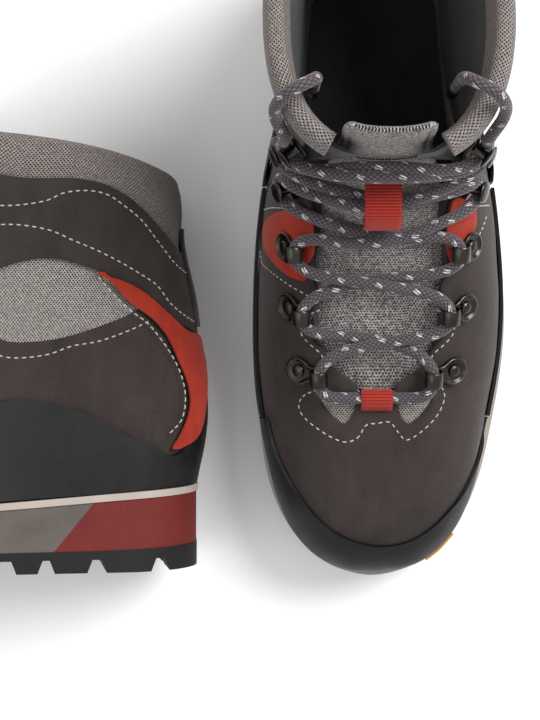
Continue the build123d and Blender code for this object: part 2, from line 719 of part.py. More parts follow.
def boot_nodes():
    """Every piece of one boot, as a left boot in its own frame."""
    heel, front = make_midsoles()
    route = lace_route()
    tongue = make_tongue_part(42.5, 103.0, count=9)
    shaft_turns = both_sides([0.0] + [SHAFT_EDGE * (i / 11) ** 0.9 for i in range(1, 12)])
    side_turns = [turn_of(a, 110) for a in (21, 26, 34, 45, 60, 80, 100, 114, 125.5)]
    mesh_turns = [turn_of(a, 110) for a in (35, 42, 52, 65, 80, 95, 103)]
    nodes = {
        "outsole": make_outsole(),
        "midsole_heel": heel,
        "midsole_front": front,
        "welt_strip": slab(welt_low, WELT_TOP, grow=0.5),
        "insole_board": flat_insert(0.3, 2.1),
        "shank": make_shank(),
        "footbed": flat_insert(3.8, 7.8),
        "lining_shaft": wall(
            lambda t: welt_of(t) + 0.2, lambda t: BAND_TOP(t) - 0.6, shaft_turns, LINING
        ),
        "lining_forefoot": [
            cap(LINING, THROAT_END + 0.5, 290),
            quarter(1, LINING, clear=1.0),
            quarter(-1, LINING, clear=1.0),
        ],
        "heel_counter": wall(lambda t: welt_of(t) + 0.4, constant(82), shaft_turns[4:-4], STIFFENER),
        "toe_puff": cap(STIFFENER, 250, 291, above=6),
        "vamp": make_vamp(),
        "front_quarters": [quarter(side, (-LEATHER, 0)) for side in (1, -1)],
        "rear_quarters": [
            side_wall(side, lambda t: welt_of(t) + 0.4, REAR_TOP, side_turns, (-LEATHER, 0))
            for side in (1, -1)
        ],
        "rand_heel": wall(welt_of, lambda t: RAND_TOP(t) - 0.5, around(126, 60, 10), OVERLAY),
        "rand_toe": make_rand_toe(),
        "heel_sweep": [make_sweep(1), make_sweep(-1)],
        "ankle_band": wall(lambda t: BAND_LOW(t) + 0.8, BAND_TOP, around(118, 160, 9), OVERLAY),
        "eyestay_patches": [make_eyestay_patch(1), make_eyestay_patch(-1)],
        "ankle_mesh": [
            side_wall(side, lambda t: REAR_TOP(t) + 1.2, lambda t: BAND_LOW(t) + 4, mesh_turns, (-LEATHER, 0))
            for side in (1, -1)
        ],
        "throat_mesh": [make_window_mesh(1), make_window_mesh(-1)],
        "collar": wall(lambda t: BAND_TOP(t) + 0.6, COLLAR_TOP, shaft_turns, COLLAR),
        "heel_strip": wall(constant(106), constant(150), [-7.0, -3.5, 0.0, 3.5, 7.0], (2.3, 3.6)),
        "tongue": tongue,
        "tongue_top": make_tongue_part(2.0, 41.7, count=6),
        "tongue_keeper": (make_keeper() - tongue).solids().sort_by(SortBy.VOLUME)[-1],
        "toe_loop": make_toe_loop(),
        "lace_hardware": [
            *[make_loop(*loop, side)[0] for loop in LOOPS for side in (1, -1)],
            *[make_hook(hook) for hook in HOOKS],
            *[make_hook(hook).mirror(Plane.YZ) for hook in HOOKS],
        ],
        "lace": tube_along(route, LACE).solids()[0],
        "aglets": [make_aglet(route, LACE), make_aglet(route[::-1], LACE)],
    }
    return nodes


def solids_of(piece):
    return piece if isinstance(piece, list) else [piece]


def place_left(shape):
    return Pos(*LEFT_AT, 0) * shape


def place_right(shape):
    """Mirror into a right boot, then lay it on its outer side with its heel towards +X."""
    return Plane(origin=RIGHT_AT, x_dir=RIGHT_INNER_SIDE, z_dir=RIGHT_UP) * shape.mirror(Plane.YZ)


def main():
    os.makedirs("parts", exist_ok=True)
    for name, piece in boot_nodes().items():
        for boot, place in (("left", place_left), ("right", place_right)):
            placed = [place(solid) for solid in solids_of(piece)]
            shape = placed[0] if len(placed) == 1 else Compound(children=placed)
            export_step(shape, f"parts/{boot}_{name}.step")


if __name__ == "__main__":
    main()
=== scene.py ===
"""Looks of a pair of hiking boots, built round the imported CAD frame.

Every piece is made once, as a left boot in its own frame in millimetres: x to the outer
side, "ahead" from the back of the heel towards the toe, z up from the ground. place() then
puts it on both boots, mirrored for the right one, in metres.
"""
import math
import bpy
import numpy as np
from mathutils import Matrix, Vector
from mathutils.geometry import delaunay_2d_cdt


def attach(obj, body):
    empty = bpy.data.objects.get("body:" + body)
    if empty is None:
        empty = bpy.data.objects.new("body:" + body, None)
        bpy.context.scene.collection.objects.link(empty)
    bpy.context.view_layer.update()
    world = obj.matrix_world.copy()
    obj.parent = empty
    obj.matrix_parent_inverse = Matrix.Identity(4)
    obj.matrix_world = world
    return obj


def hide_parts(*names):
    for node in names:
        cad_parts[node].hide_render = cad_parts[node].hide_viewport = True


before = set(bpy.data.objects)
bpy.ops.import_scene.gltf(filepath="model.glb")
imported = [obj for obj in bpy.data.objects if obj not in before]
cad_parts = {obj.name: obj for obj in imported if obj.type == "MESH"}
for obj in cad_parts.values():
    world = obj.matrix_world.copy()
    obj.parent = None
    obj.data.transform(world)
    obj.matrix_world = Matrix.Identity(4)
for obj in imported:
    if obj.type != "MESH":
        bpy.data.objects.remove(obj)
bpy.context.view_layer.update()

MM = 0.001

# ---- driving dimensions, the same as the CAD source's --------------------------------
LENGTH = 302.0
UPPER_INSET = 4.0
OVERLAY = (0.6, 2.1)
TONGUE = (-12.6, -8.4)
SEAM = 128.0
LACE = 5.0
LOOP_BORE = 6.2
LOOP_WALL = 0.9
LOOP_STAND = 1.6
LEFT_AT = np.array([156.5, 151.1, 0.0])
RIGHT_AT = np.array([81.6, -145.2, 34.8])
RIGHT_INNER_SIDE = np.array([0.1474, -0.0211, 0.9889])
RIGHT_UP = np.array([0.0031, 0.9998, 0.0208])
FAN_AXIS = (192.0, 205.0)


class Profile:
    """A smooth line of value against position through given points."""

    def __init__(self, *points):
        self.at, self.value = np.array(points, float).T
        gap = np.diff(self.at)
        slope = np.diff(self.value) / gap
        count = len(self.at)
        rows = np.eye(count)
        right = np.zeros(count)
        for i in range(1, count - 1):
            rows[i, i - 1 : i + 2] = gap[i - 1], 2 * (gap[i - 1] + gap[i]), gap[i]
            right[i] = 6 * (slope[i] - slope[i - 1])
        self.bend = np.linalg.solve(rows, right)

    def __call__(self, where):
        where = np.clip(where, self.at[0], self.at[-1])
        i = np.clip(np.searchsorted(self.at, where) - 1, 0, len(self.at) - 2)
        gap = self.at[i + 1] - self.at[i]
        b = (where - self.at[i]) / gap
        a = 1 - b
        bent = (a**3 - a) * self.bend[i] + (b**3 - b) * self.bend[i + 1]
        return a * self.value[i] + b * self.value[i + 1] + bent * gap**2 / 6


UPPER_MEDIAL = Profile(
    (0, 32), (40, 34), (80, 38), (115, 45.5), (150, 50.3), (190, 51.8), (225, 49.8), (250, 45.5), (302, 42)
)
UPPER_LATERAL = Profile(
    (0, 33), (40, 36), (80, 41), (115, 49.5), (150, 55), (190, 57), (225, 52.5), (250, 47.5), (302, 43)
)
TOP = Profile(
    (0, 112), (60, 118), (110, 124), (150, 116), (182, 99.5), (205, 89), (226, 81), (250, 74),
    (275, 69.5), (302, 66),
)
WELT_TOP = Profile(
    (0, 36.5), (40, 34.5), (74, 32), (120, 29), (170, 25.5), (215, 24.5), (260, 28), (302, 35)
)
BACK = Profile(
    (30, 11), (40, 9.5), (52, 7), (65, 5), (78, 4.4), (90, 5), (101, 6.4), (116, 8.2), (131, 11.6),
    (147, 14.4), (163, 14.0), (172, 14.6), (210, 20),
)
FRONT = Profile(
    (30, 120), (80, 150), (105, 153), (120, 147), (140, 137), (160, 132), (190, 129.5), (210, 129)
)
SHAFT_HALF = Profile(
    (30, 30), (60, 36), (85, 39), (105, 40.5), (130, 42.5), (160, 45), (190, 48), (210, 49)
)


def inside(p):
    """Above 0 inside the upper's outer surface, 0 on it, below 0 outside, roughly in mm."""
    x, ahead, z = p[:, 0], p[:, 1], p[:, 2]
    side = np.where(x > 0, UPPER_LATERAL(ahead), UPPER_MEDIAL(ahead))
    low = WELT_TOP(ahead) + 6
    across = np.abs(x) / side
    up = np.clip(z - low, 0, None) / (TOP(ahead) - low)
    toe = np.clip(ahead - 240, 0, None) / (LENGTH - UPPER_INSET - 240)
    heel = np.clip(36 - (ahead - BACK(z)), 0, None) / 36
    foot = (1 - (across**2.5 + up**2.35 + toe**2.35 + heel**2.35) ** (1 / 2.4)) * 48
    half = (FRONT(z) - BACK(z)) / 2
    along = np.abs(ahead - BACK(z) - half) / half
    shaft = (1 - (along**2.35 + (np.abs(x) / SHAFT_HALF(z)) ** 2.35) ** (1 / 2.35)) * 44
    blend = np.clip(14 - np.abs(foot - shaft), 0, None)
    return np.maximum(foot, shaft) + blend**2 / 56


def slope(p):
    """Unit normals pointing out of the surface."""
    step = 0.05
    parts = []
    for axis in range(3):
        shift = np.zeros(3)
        shift[axis] = step
        parts.append(inside(p - shift) - inside(p + shift))
    normal = np.stack(parts, 1)
    return normal / np.clip(np.linalg.norm(normal, axis=1, keepdims=True), 1e-9, None)


def cast(start, ray, outward=True):
    """Where rays from start meet the surface."""
    near, end = np.zeros(len(start)), np.full(len(start), 170.0)
    for _ in range(26):
        middle = (near + end) / 2
        value = inside(start + ray * middle[:, None])
        beyond = value < 0 if outward else value > 0
        end = np.where(beyond, middle, end)
        near = np.where(beyond, near, middle)
    return start + ray * near[:, None]


# ---- three flat charts of the surface, each nearly true to size -----------------------
TURNS = np.linspace(-100, 100, 401)
CHART_HEIGHT = 112.0


def wall_point(turn, z):
    turn = np.radians(turn)
    ray = np.stack([np.sin(turn), -np.cos(turn), turn * 0], 1)
    start = np.stack([turn * 0, turn * 0 + SEAM, z], 1)
    return cast(start, ray)


_girth = wall_point(TURNS, np.full(len(TURNS), CHART_HEIGHT))
_girth = np.concatenate([[0], np.cumsum(np.linalg.norm(np.diff(_girth, axis=0), axis=1))])
_girth -= np.interp(0.0, TURNS, _girth)


def wall_chart(p):
    """Round the heel and shaft: p is (distance round from the heel, height)."""
    return wall_point(np.interp(p[:, 0], _girth, TURNS), p[:, 1])


def on_wall(points, side=1):
    """The wall chart's places of (ahead, height) points on the outer (1) or inner side."""
    points = np.atleast_2d(np.array(points, float))
    turns = np.linspace(0.0, 99, 199)
    placed = []
    for ahead, z in points:
        reach = wall_point(side * turns, np.full(len(turns), z))[:, 1]
        placed.append((np.interp(np.interp(ahead, reach, side * turns), TURNS, _girth), z))
    return np.array(placed)


ARCH_SCALE = 0.95  # millimetres to a degree


def arch_chart(p):
    """Over the forefoot: p is (distance from the ridge to the outer side, ahead)."""
    angle, ahead = np.radians(90 - p[:, 0] / ARCH_SCALE), p[:, 1]
    ray = np.stack([np.cos(angle), angle * 0, np.sin(angle)], 1)
    start = np.stack([angle * 0, ahead, WELT_TOP(ahead) + 1.0], 1)
    return cast(start, ray)


def on_arch(points):
    """The arch chart's places of (x, ahead) points of the plan."""
    placed = []
    reach = np.linspace(-75, 75, 301)
    for x, ahead in np.atleast_2d(np.array(points, float)):
        xs = arch_chart(np.stack([reach, np.full(len(reach), ahead)], 1))[:, 0]
        placed.append((np.interp(x, xs, reach), ahead))
    return np.array(placed)


FAN_SCALE = 2.0


def fan_chart(p):
    """Across the front of the throat: p is (x, distance down from the fan's level)."""
    turn = np.radians(p[:, 1] / FAN_SCALE)
    ray = np.stack([turn * 0, -np.cos(turn), -np.sin(turn)], 1)
    start = np.stack([p[:, 0], turn * 0 + FAN_AXIS[0], turn * 0 + FAN_AXIS[1]], 1)
    return cast(start, ray, outward=False)


def raised(points, level):
    return points + slope(points) * np.reshape(level, (-1, 1))


# ---- placing pieces on both boots ------------------------------------------------------
def to_left(p):
    return (LEFT_AT + p * (1, -1, 1)) * MM


def to_right(p):
    forward = np.cross(RIGHT_UP, RIGHT_INNER_SIDE)
    return (RIGHT_AT - p[:, :1] * RIGHT_INNER_SIDE - p[:, 1:2] * forward + p[:, 2:] * RIGHT_UP) * MM


BOOTS = (("left", to_left, False), ("right", to_right, True))


def place(name, verts, faces, material, nodes=(), uv=None, part="boot", slot=None, sharp=40, pad=None):
    """Makes the piece on both boots. uv holds one pair for each vertex, in millimetres."""
    made = []
    for boot, move, flip in BOOTS:
        mesh = bpy.data.meshes.new(f"{boot}_{name}")
        ring = [f[::-1] for f in faces] if not flip else [tuple(f) for f in faces]
        mesh.from_pydata(move(np.asarray(verts, float)).tolist(), [], ring)
        mesh.shade_smooth()
        if sharp:
            mesh.set_sharp_from_angle(angle=math.radians(sharp))
        if uv is not None:
            layer = mesh.uv_layers.new(name="UVMap")
            index = np.zeros(len(mesh.loops), int)
            mesh.loops.foreach_get("vertex_index", index)
            layer.data.foreach_set("uv", np.asarray(uv, np.float32)[index].ravel())
        mesh.materials.append(material)
        piece = bpy.data.objects.new(f"{boot}_{name}", mesh)
        bpy.context.scene.collection.objects.link(piece)
        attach(piece, f"{boot}_{part}")
        if nodes:
            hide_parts(*[f"{boot}_{node}" for node in nodes])
        made.append(piece)
    return made


# ---- flat outlines -----------------------------------------------------------------------
SHORTEST = 1e-6  # keeps two points in one place from making a knot of no length


def mixed(t, first, last, p, q):
    """From p at the first knot to q at the last."""
    return (last - t) / (last - first) * p + (t - first) / (last - first) * q


def smooth(points, closed=False, pitch=1.5):
    """A smooth line through points, cut into even short steps."""
    points = np.array(points, float)
    if closed:
        points = np.vstack([points, points[:1]])
    before = points[-2] if closed else 2 * points[0] - points[1]
    after = points[1] if closed else 2 * points[-1] - points[-2]
    around = np.vstack([before, points, after])
    line = []
    for a, b, c, d in zip(around, around[1:], around[2:], around[3:]):
        steps = [max(np.linalg.norm(q - p), SHORTEST) ** 0.5 for p, q in ((a, b), (b, c), (c, d))]
        knots = np.cumsum([0] + steps)
        count = max(2, int(np.linalg.norm(c - b) / pitch * 2))
        t = np.linspace(knots[1], knots[2], count, endpoint=False)[:, None]
        ab = mixed(t, knots[0], knots[1], a, b)
        bc = mixed(t, knots[1], knots[2], b, c)
        cd = mixed(t, knots[2], knots[3], c, d)
        abc = mixed(t, knots[0], knots[2], ab, bc)
        bcd = mixed(t, knots[1], knots[3], bc, cd)
        line += list(mixed(t, knots[1], knots[2], abc, bcd))
    line = np.array(line + [points[-1]])
    return even(line, pitch)[: -1 if closed else None]


def even(line, pitch):
    """The line cut again into even steps of about this length."""
    way = np.concatenate([[0], np.cumsum(np.linalg.norm(np.diff(line, axis=0), axis=1))])
    at = np.linspace(0, way[-1], max(2, round(way[-1] / pitch) + 1))
    return np.stack([np.interp(at, way, line[:, k]) for k in range(line.shape[1])], 1)


def distance_to(points, ring):
    """Distance of each point from a closed line."""
    a, b = ring, np.roll(ring, -1, axis=0)
    way = b - a
    long = np.clip((way**2).sum(1), 1e-9, None)
    best = np.full(len(points), 1e9)
    for start, step, square in zip(a, way, long):
        t = np.clip(((points - start) @ step) / square, 0, 1)
        best = np.minimum(best, np.linalg.norm(points - start - t[:, None] * step, axis=1))
    return best


def within(points, ring):
    """Whether each point is inside a closed line."""
    x, y = points[:, 0], points[:, 1]
    found = np.zeros(len(points), bool)
    for (x0, y0), (x1, y1) in zip(ring, np.roll(ring, -1, axis=0)):
        crosses = (y0 > y) != (y1 > y)
        found ^= crosses & (x < (x1 - x0) * (y - y0) / (y1 - y0 + 1e-12) + x0)
    return found


def inset(ring, depth):
    """The closed line moved inwards."""
    way = np.roll(ring, -1, axis=0) - np.roll(ring, 1, axis=0)
    way /= np.clip(np.linalg.norm(way, axis=1, keepdims=True), 1e-9, None)
    area = np.sum(ring[:, 0] * np.roll(ring[:, 1], -1) - np.roll(ring[:, 0], -1) * ring[:, 1])
    side = np.stack([-way[:, 1], way[:, 0]], 1) * np.sign(area)
    return ring + side * depth


def unevenness(p, size, depth):
    """A slow waviness of soft material over the chart."""
    a, b = p[:, 0] / size, p[:, 1] / size
    wave = np.sin(a * 2.1 + 1.3 * np.sin(b * 1.7)) + np.sin(b * 2.6 + 1.1 * np.sin(a * 1.3) + 1.0)
    return wave * depth / 2


def panel(name, chart, outline, top, thick, material, holes=(), rim=0.5, step=3.2, wave=0.12, **how):
    """A flat-cut panel laid on the surface: level top outside, thick, with rounded cut edges."""
    rings = [outline] + [inset(outline, rim)]
    for hole in holes:
        rings += [hole, inset(hole, -rim)]
    low, high = outline.min(0), outline.max(0)
    xs, ys = np.arange(low[0], high[0], step), np.arange(low[1], high[1], step)
    grid = np.stack(np.meshgrid(xs, ys), -1).reshape(-1, 2)
    grid[:, 0] += (np.round((grid[:, 1] - low[1]) / step) % 2) * step / 2
    keep = within(grid, outline)
    for ring in rings[::2]:
        keep &= distance_to(grid, ring) > rim + step * 0.35
    for hole in holes:
        keep &= ~within(grid, hole)
    flat, edges = [], []
    for ring in rings:
        first = sum(len(r) for r in flat)
        flat.append(ring)
        count = len(ring)
        edges += [(first + i, first + (i + 1) % count) for i in range(count)]
    flat = np.vstack(flat + [grid[keep]])
    places, _, faces, *_ = delaunay_2d_cdt([Vector(p) for p in flat], edges, [], 1, 1e-5)
    places = np.array([tuple(p) for p in places])
    faces = np.array(faces)
    centres = places[faces].mean(1)
    for hole in holes:
        faces = faces[~within(centres, hole)]
        centres = places[faces].mean(1)
    faces = faces[within(centres, outline)]
    used = np.unique(faces)
    places, faces = places[used], np.searchsorted(used, faces)
    away = np.minimum.reduce([distance_to(places, ring) for ring in rings[::2]])
    drop = rim * (1 - np.clip(away / rim, 0, 1)) ** 2 * 0.8
    base = chart(places)
    level = top + unevenness(places, 14, wave) * np.clip(away / 4, 0, 1) - drop
    count = len(places)
    verts = np.vstack([raised(base, level), raised(base, level - thick + drop)])
    sides = {}
    for face in faces:
        for a, b in zip(face, np.roll(face, -1)):
            sides[(int(a), int(b))] = sides.get((int(a), int(b)), 0) + 1
    rimmed = [(a, b) for a, b in sides if (b, a) not in sides]
    solid = [tuple(int(i) for i in f) for f in faces]
    solid += [tuple(int(i) + count for i in f[::-1]) for f in faces]
    solid += [(b, a, a + count, b + count) for a, b in rimmed]
    solid = facing(verts, solid, faces[0], base)
    return place(name, verts, solid, material, uv=np.vstack([places, places]), **how)


def facing(verts, solid, face, base):
    """The faces with the winding that points out of the boot, which place() expects."""
    a, b, c = verts[face[0]], verts[face[1]], verts[face[2]]
    outward = np.dot(np.cross(b - a, c - a), slope(base[face[:1]])[0]) > 0
    return solid if outward else [f[::-1] for f in solid]


# ---- materials -----------------------------------------------------------------------------
class Shade:
    """A material with its shader and short ways to add and join nodes."""

    def __init__(self, name, **sockets):
        self.material = bpy.data.materials.new(name)
        self.material.use_nodes = True
        self.tree = self.material.node_tree
        self.shader = self.tree.nodes["Principled BSDF"]
        for key, value in sockets.items():
            self.shader.inputs[key.replace("_", " ")].default_value = value

    def add(self, kind, join=(), **values):
        node = self.tree.nodes.new(kind)
        for key, value in values.items():
            setattr(node, key, value)
        for index, source in join:
            if isinstance(source, bpy.types.NodeSocket):
                self.tree.links.new(source, node.inputs[index])
            else:
                node.inputs[index].default_value = source
        return node.outputs

    def math(self, operation, a, b=0.0):
        return self.add("ShaderNodeMath", [(0, a), (1, b)], operation=operation)[0]

    def where(self, kind="Object"):
        return self.add("ShaderNodeTexCoord")[kind]

    def uv(self):
        """The two coordinates of the UV map, in millimetres."""
        out = self.add("ShaderNodeSeparateXYZ", [(0, self.where("UV"))])
        return out[0], out[1]

    def noise(self, scale, detail=2.0, rough=0.5, vector=None, stretch=None):
        vector = vector or self.where()
        if stretch:
            vector = self.add("ShaderNodeMapping", [(0, vector), (3, stretch)])[0]
        join = [("Vector", vector), ("Scale", scale), ("Detail", detail), ("Roughness", rough)]
        return self.add("ShaderNodeTexNoise", join)["Fac"]

    def span(self, value, low, high, out_low=0.0, out_high=1.0):
        """The value brought from one range to another, and held within it."""
        join = [(0, value), (1, low), (2, high), (3, out_low), (4, out_high)]
        return self.add("ShaderNodeMapRange", join)[0]

    def mix(self, share, a, b, blend="MIX"):
        node = self.tree.nodes.new("ShaderNodeMix")
        node.data_type = "RGBA"
        node.blend_type = blend
        for index, source in ((0, share), (6, a), (7, b)):
            if isinstance(source, bpy.types.NodeSocket):
                self.tree.links.new(source, node.inputs[index])
            else:
                node.inputs[index].default_value = source
        return node.outputs[2]

    def bump(self, height, distance, strength=1.0, below=None):
        join = [("Height", height), ("Distance", distance), ("Strength", strength)]
        if below:
            join.append(("Normal", below))
        return self.add("ShaderNodeBump", join)[0]

    def give(self, socket, source):
        self.tree.links.new(source, self.shader.inputs[socket])


STUDIO = 0.56  # the white studio light is this much of what makes a base colour look itself


def rgb(red, green, blue):
    """The base colour that looks like this display colour, 0-255, in the studio's light."""
    return tuple(STUDIO * ((v / 255 + 0.055) / 1.055) ** 2.4 for v in (red, green, blue)) + (1.0,)


def suede(name, colour, nap, fibre=1.0):
    """Napped leather: short fibres, brushed light and dark patches, no gloss."""
    s = Shade(name, Roughness=0.95, Sheen_Weight=0.22, Sheen_Roughness=0.45, Specular_IOR_Level=0.22)
    s.shader.inputs["Sheen Tint"].default_value = nap
    dark = tuple(c * 0.62 for c in colour[:3]) + (1.0,)
    light = tuple(min(1.0, c * 1.45) for c in colour[:3]) + (1.0,)
    fibres = s.noise(1500 * fibre, 3.0, 0.7)
    patches = s.noise(38, 3.0, 0.6)
    brushed = s.noise(160, 2.0, 0.5, stretch=(1.0, 0.35, 1.0))
    tone = s.math("ADD", s.math("MULTIPLY", fibres, 0.5), s.math("MULTIPLY", patches, 0.32))
    tone = s.math("ADD", tone, s.math("MULTIPLY", brushed, 0.22))
    s.give("Base Color", s.mix(s.span(tone, 0.36, 0.68), dark, light))
    fine = s.bump(fibres, 0.00022, 0.75)
    s.give("Normal", s.bump(brushed, 0.0004, 0.35, fine))
    return s.material


def rubber(name, colour, roughness=0.5, grain=0.35):
    s = Shade(name, Specular_IOR_Level=0.28)
    grains = s.noise(1300, 2.0, 0.6)
    marks = s.noise(70, 4.0, 0.65)
    light = tuple(min(1.0, c * 1.9 + 0.002) for c in colour[:3]) + (1.0,)
    s.give("Base Color", s.mix(s.span(marks, 0.4, 0.75), colour, light))
    s.give("Roughness", s.span(marks, 0.3, 0.7, roughness - 0.08, roughness + 0.14))
    s.give("Normal", s.bump(grains, 0.00009, grain))
    return s.material


def foam(name, colour, low=0.8, high=1.15):
    """Moulded midsole foam with a fine skin."""
    s = Shade(name, Specular_IOR_Level=0.3)
    grains = s.noise(1700, 2.0, 0.6)
    clouds = s.noise(45, 3.0, 0.6)
    dark = tuple(c * low for c in colour[:3]) + (1.0,)
    light = tuple(min(1, c * high) for c in colour[:3]) + (1.0,)
    s.give("Base Color", s.mix(s.span(clouds, 0.3, 0.7), dark, light))
    s.give("Roughness", s.span(grains, 0.3, 0.7, 0.6, 0.8))
    s.give("Normal", s.bump(grains, 0.00012, 0.4))
    return s.material


def holes_mask(s, across, along, long, wide):
    """Staggered oval holes: 1 in a hole, 0 in the cloth. Pitches and sizes in millimetres."""
    u, v = s.uv()
    row = s.math("FLOOR", s.math("DIVIDE", v, along))
    shift = s.math("MULTIPLY", s.math("MODULO", s.math("ABSOLUTE", row), 2.0), 0.5)
    cell = s.math("ADD", s.math("DIVIDE", u, across), shift)
    x = s.math("MULTIPLY", s.math("SUBTRACT", s.math("FRACT", cell), 0.5), across)
    y = s.math("MULTIPLY", s.math("SUBTRACT", s.math("FRACT", s.math("DIVIDE", v, along)), 0.5), along)
    x = s.math("POWER", s.math("ABSOLUTE", s.math("DIVIDE", x, wide / 2)), 2.0)
    y = s.math("POWER", s.math("ABSOLUTE", s.math("DIVIDE", y, long / 2)), 2.0)
    return s.span(s.math("SQRT", s.math("ADD", x, y)), 0.72, 1.28, 1.0, 0.0)


def mesh_cloth(name, thread, hole, across, along, long, wide, heather=0.15, tint=(0.5, 0.45, 0.45, 1)):
    """Knitted mesh with rows of small open holes."""
    s = Shade(name, Roughness=0.85, Sheen_Weight=0.25, Sheen_Roughness=0.4, Specular_IOR_Level=0.25)
    s.shader.inputs["Sheen Tint"].default_value = tint
    mask = holes_mask(s, across, along, long, wide)
    u, v = s.uv()
    slanted = s.math("ADD", u, s.math("MULTIPLY", v, 0.4))
    strands = s.math("SINE", s.math("MULTIPLY", slanted, 2 * math.pi / 0.42))
    mottled = s.noise(850, 2.0, 0.6)
    dark = tuple(c * (1 - heather * 2.2) for c in thread[:3]) + (1.0,)
    light = tuple(min(1, c * (1 + heather)) for c in thread[:3]) + (1.0,)
    cloth = s.mix(s.span(mottled, 0.36, 0.64), dark, light)
    s.give("Base Color", s.mix(mask, cloth, hole))
    height = s.math("SUBTRACT", s.math("MULTIPLY", strands, 0.12), mask)
    s.give("Normal", s.bump(height, 0.00045, 0.9))
    return s.material


def webbing(name, colour, pitch=1.25):
    """Ribbed tape, with painted shade in the grooves between its ribs and painted highlights on their crests;
    the ribs run along it, across the UV map's first coordinate.
    """
    s = Shade(name, Roughness=0.8, Sheen_Weight=0.3, Sheen_Roughness=0.4, Specular_IOR_Level=0.3)
    s.shader.inputs["Sheen Tint"].default_value = (1.0, 0.5, 0.4, 1)
    u, v = s.uv()
    ribs = s.math("ABSOLUTE", s.math("SINE", s.math("MULTIPLY", u, math.pi / pitch)))
    weft = s.math("SINE", s.math("MULTIPLY", v, 2 * math.pi / 0.55))
    height = s.math("ADD", ribs, s.math("MULTIPLY", weft, 0.16))
    # The base colour follows the ribs' height: painted shade in the grooves between ribs and a painted
    # highlight on their crests, on top of the bump's own relief.
    dark = tuple(c * 0.45 for c in colour[:3]) + (1.0,)
    light = tuple(min(1, c * 1.2) for c in colour[:3]) + (1.0,)
    s.give("Base Color", s.mix(s.span(height, 0.1, 0.95), dark, light))
    s.give("Normal", s.bump(height, 0.0004, 0.8))
    return s.material


def braid(name, ground, dark, fleck):
    """Round braided lace, with painted shade between its strands: u is once round (0-1), v is millimetres
    along.
    """
    s = Shade(name, Roughness=0.75, Sheen_Weight=0.25, Sheen_Roughness=0.4, Specular_IOR_Level=0.3)
    s.shader.inputs["Sheen Tint"].default_value = (0.8, 0.75, 0.8, 1)
    u, v = s.uv()
    one = s.math("ADD", s.math("MULTIPLY", u, 8.0), s.math("DIVIDE", v, 2.4))
    two = s.math("SUBTRACT", s.math("MULTIPLY", u, 8.0), s.math("DIVIDE", v, 2.4))
    one = s.math("ABSOLUTE", s.math("SINE", s.math("MULTIPLY", one, math.pi)))
    two = s.math("ABSOLUTE", s.math("SINE", s.math("MULTIPLY", two, math.pi)))
    weave = s.math("MULTIPLY", one, two)
    band = s.math("FRACT", s.math("ADD", s.math("MULTIPLY", u, 2.0), s.math("DIVIDE", v, 16.0)))
    other = s.math("FRACT", s.math("SUBTRACT", s.math("MULTIPLY", u, 1.0), s.math("DIVIDE", v, 8.0)))
    narrow = s.math("MULTIPLY", s.span(band, 0.05, 0.08), s.span(band, 0.27, 0.3, 1.0, 0.0))
    split = s.span(s.math("ABSOLUTE", s.math("SUBTRACT", band, 0.175)), 0.015, 0.04)
    short = s.math("MULTIPLY", s.span(other, 0.1, 0.16), s.span(other, 0.5, 0.56, 1.0, 0.0))
    on_strand = s.math("MULTIPLY", short, s.span(one, 0.2, 0.45))
    flecks = s.math("MULTIPLY", s.math("MULTIPLY", narrow, split), on_strand)
    # Dark between the strands and the ground colour on them: painted shade in the weave's grooves. The white
    # flecks are the lace's own print.
    base = s.mix(s.span(weave, 0.05, 0.7), dark, ground)
    s.give("Base Color", s.mix(flecks, base, fleck))
    s.give("Normal", s.bump(weave, 0.0004, 0.8))
    return s.material


def metal(name, colour, roughness=0.3):
    s = Shade(name, Metallic=1.0)
    marks = s.noise(420, 3.0, 0.6)
    wear = s.noise(60, 3.0, 0.6)
    light = tuple(min(1, c * 1.6) for c in colour[:3]) + (1.0,)
    s.give("Base Color", s.mix(s.span(wear, 0.35, 0.7), colour, light))
    s.give("Roughness", s.span(marks, 0.3, 0.7, roughness - 0.08, roughness + 0.12))
    s.give("Normal", s.bump(marks, 0.00005, 0.3))
    return s.material


def thread(name, colour):
    s = Shade(name, Roughness=0.7, Sheen_Weight=0.3, Specular_IOR_Level=0.3)
    twist = s.noise(2600, 1.0, 0.5)
    dark = tuple(c * 0.7 for c in colour[:3]) + (1.0,)
    s.give("Base Color", s.mix(s.span(twist, 0.3, 0.7), dark, colour))
    s.give("Normal", s.bump(twist, 0.0002, 0.6))
    return s.material


SUEDE = suede("suede_grey", rgb(64, 56, 54), (0.55, 0.5, 0.48, 1))
SUEDE_DARK = suede("suede_band", rgb(60, 53, 51), (0.55, 0.5, 0.48, 1))
NUBUCK = suede("nubuck_red", rgb(176, 52, 34), (1.0, 0.5, 0.4, 1), 1.3)
RUBBER = rubber("rubber_rand", rgb(12, 12, 13), 0.5)
SOLE_RUBBER = rubber("rubber_sole", rgb(14, 14, 15), 0.62, 0.5)
RED_FOAM = foam("foam_red", rgb(122, 34, 27))
GREY_FOAM = foam("foam_grey", rgb(110, 102, 96))
BEIGE = foam("strip_beige", rgb(205, 192, 182), 0.9, 1.08)
MESH = mesh_cloth("mesh_window", rgb(196, 188, 182), rgb(26, 22, 22), 1.35, 0.85, 0.62, 0.62)
COLLAR_MESH = mesh_cloth("mesh_collar", rgb(172, 163, 157), rgb(30, 26, 26), 1.35, 0.85, 0.62, 0.62)
TONGUE_MESH = mesh_cloth("mesh_tongue", rgb(206, 199, 196), rgb(36, 31, 31), 1.5, 1.0, 0.5, 0.8, 0.3)
WEBBING = webbing("webbing_red", rgb(190, 48, 34))
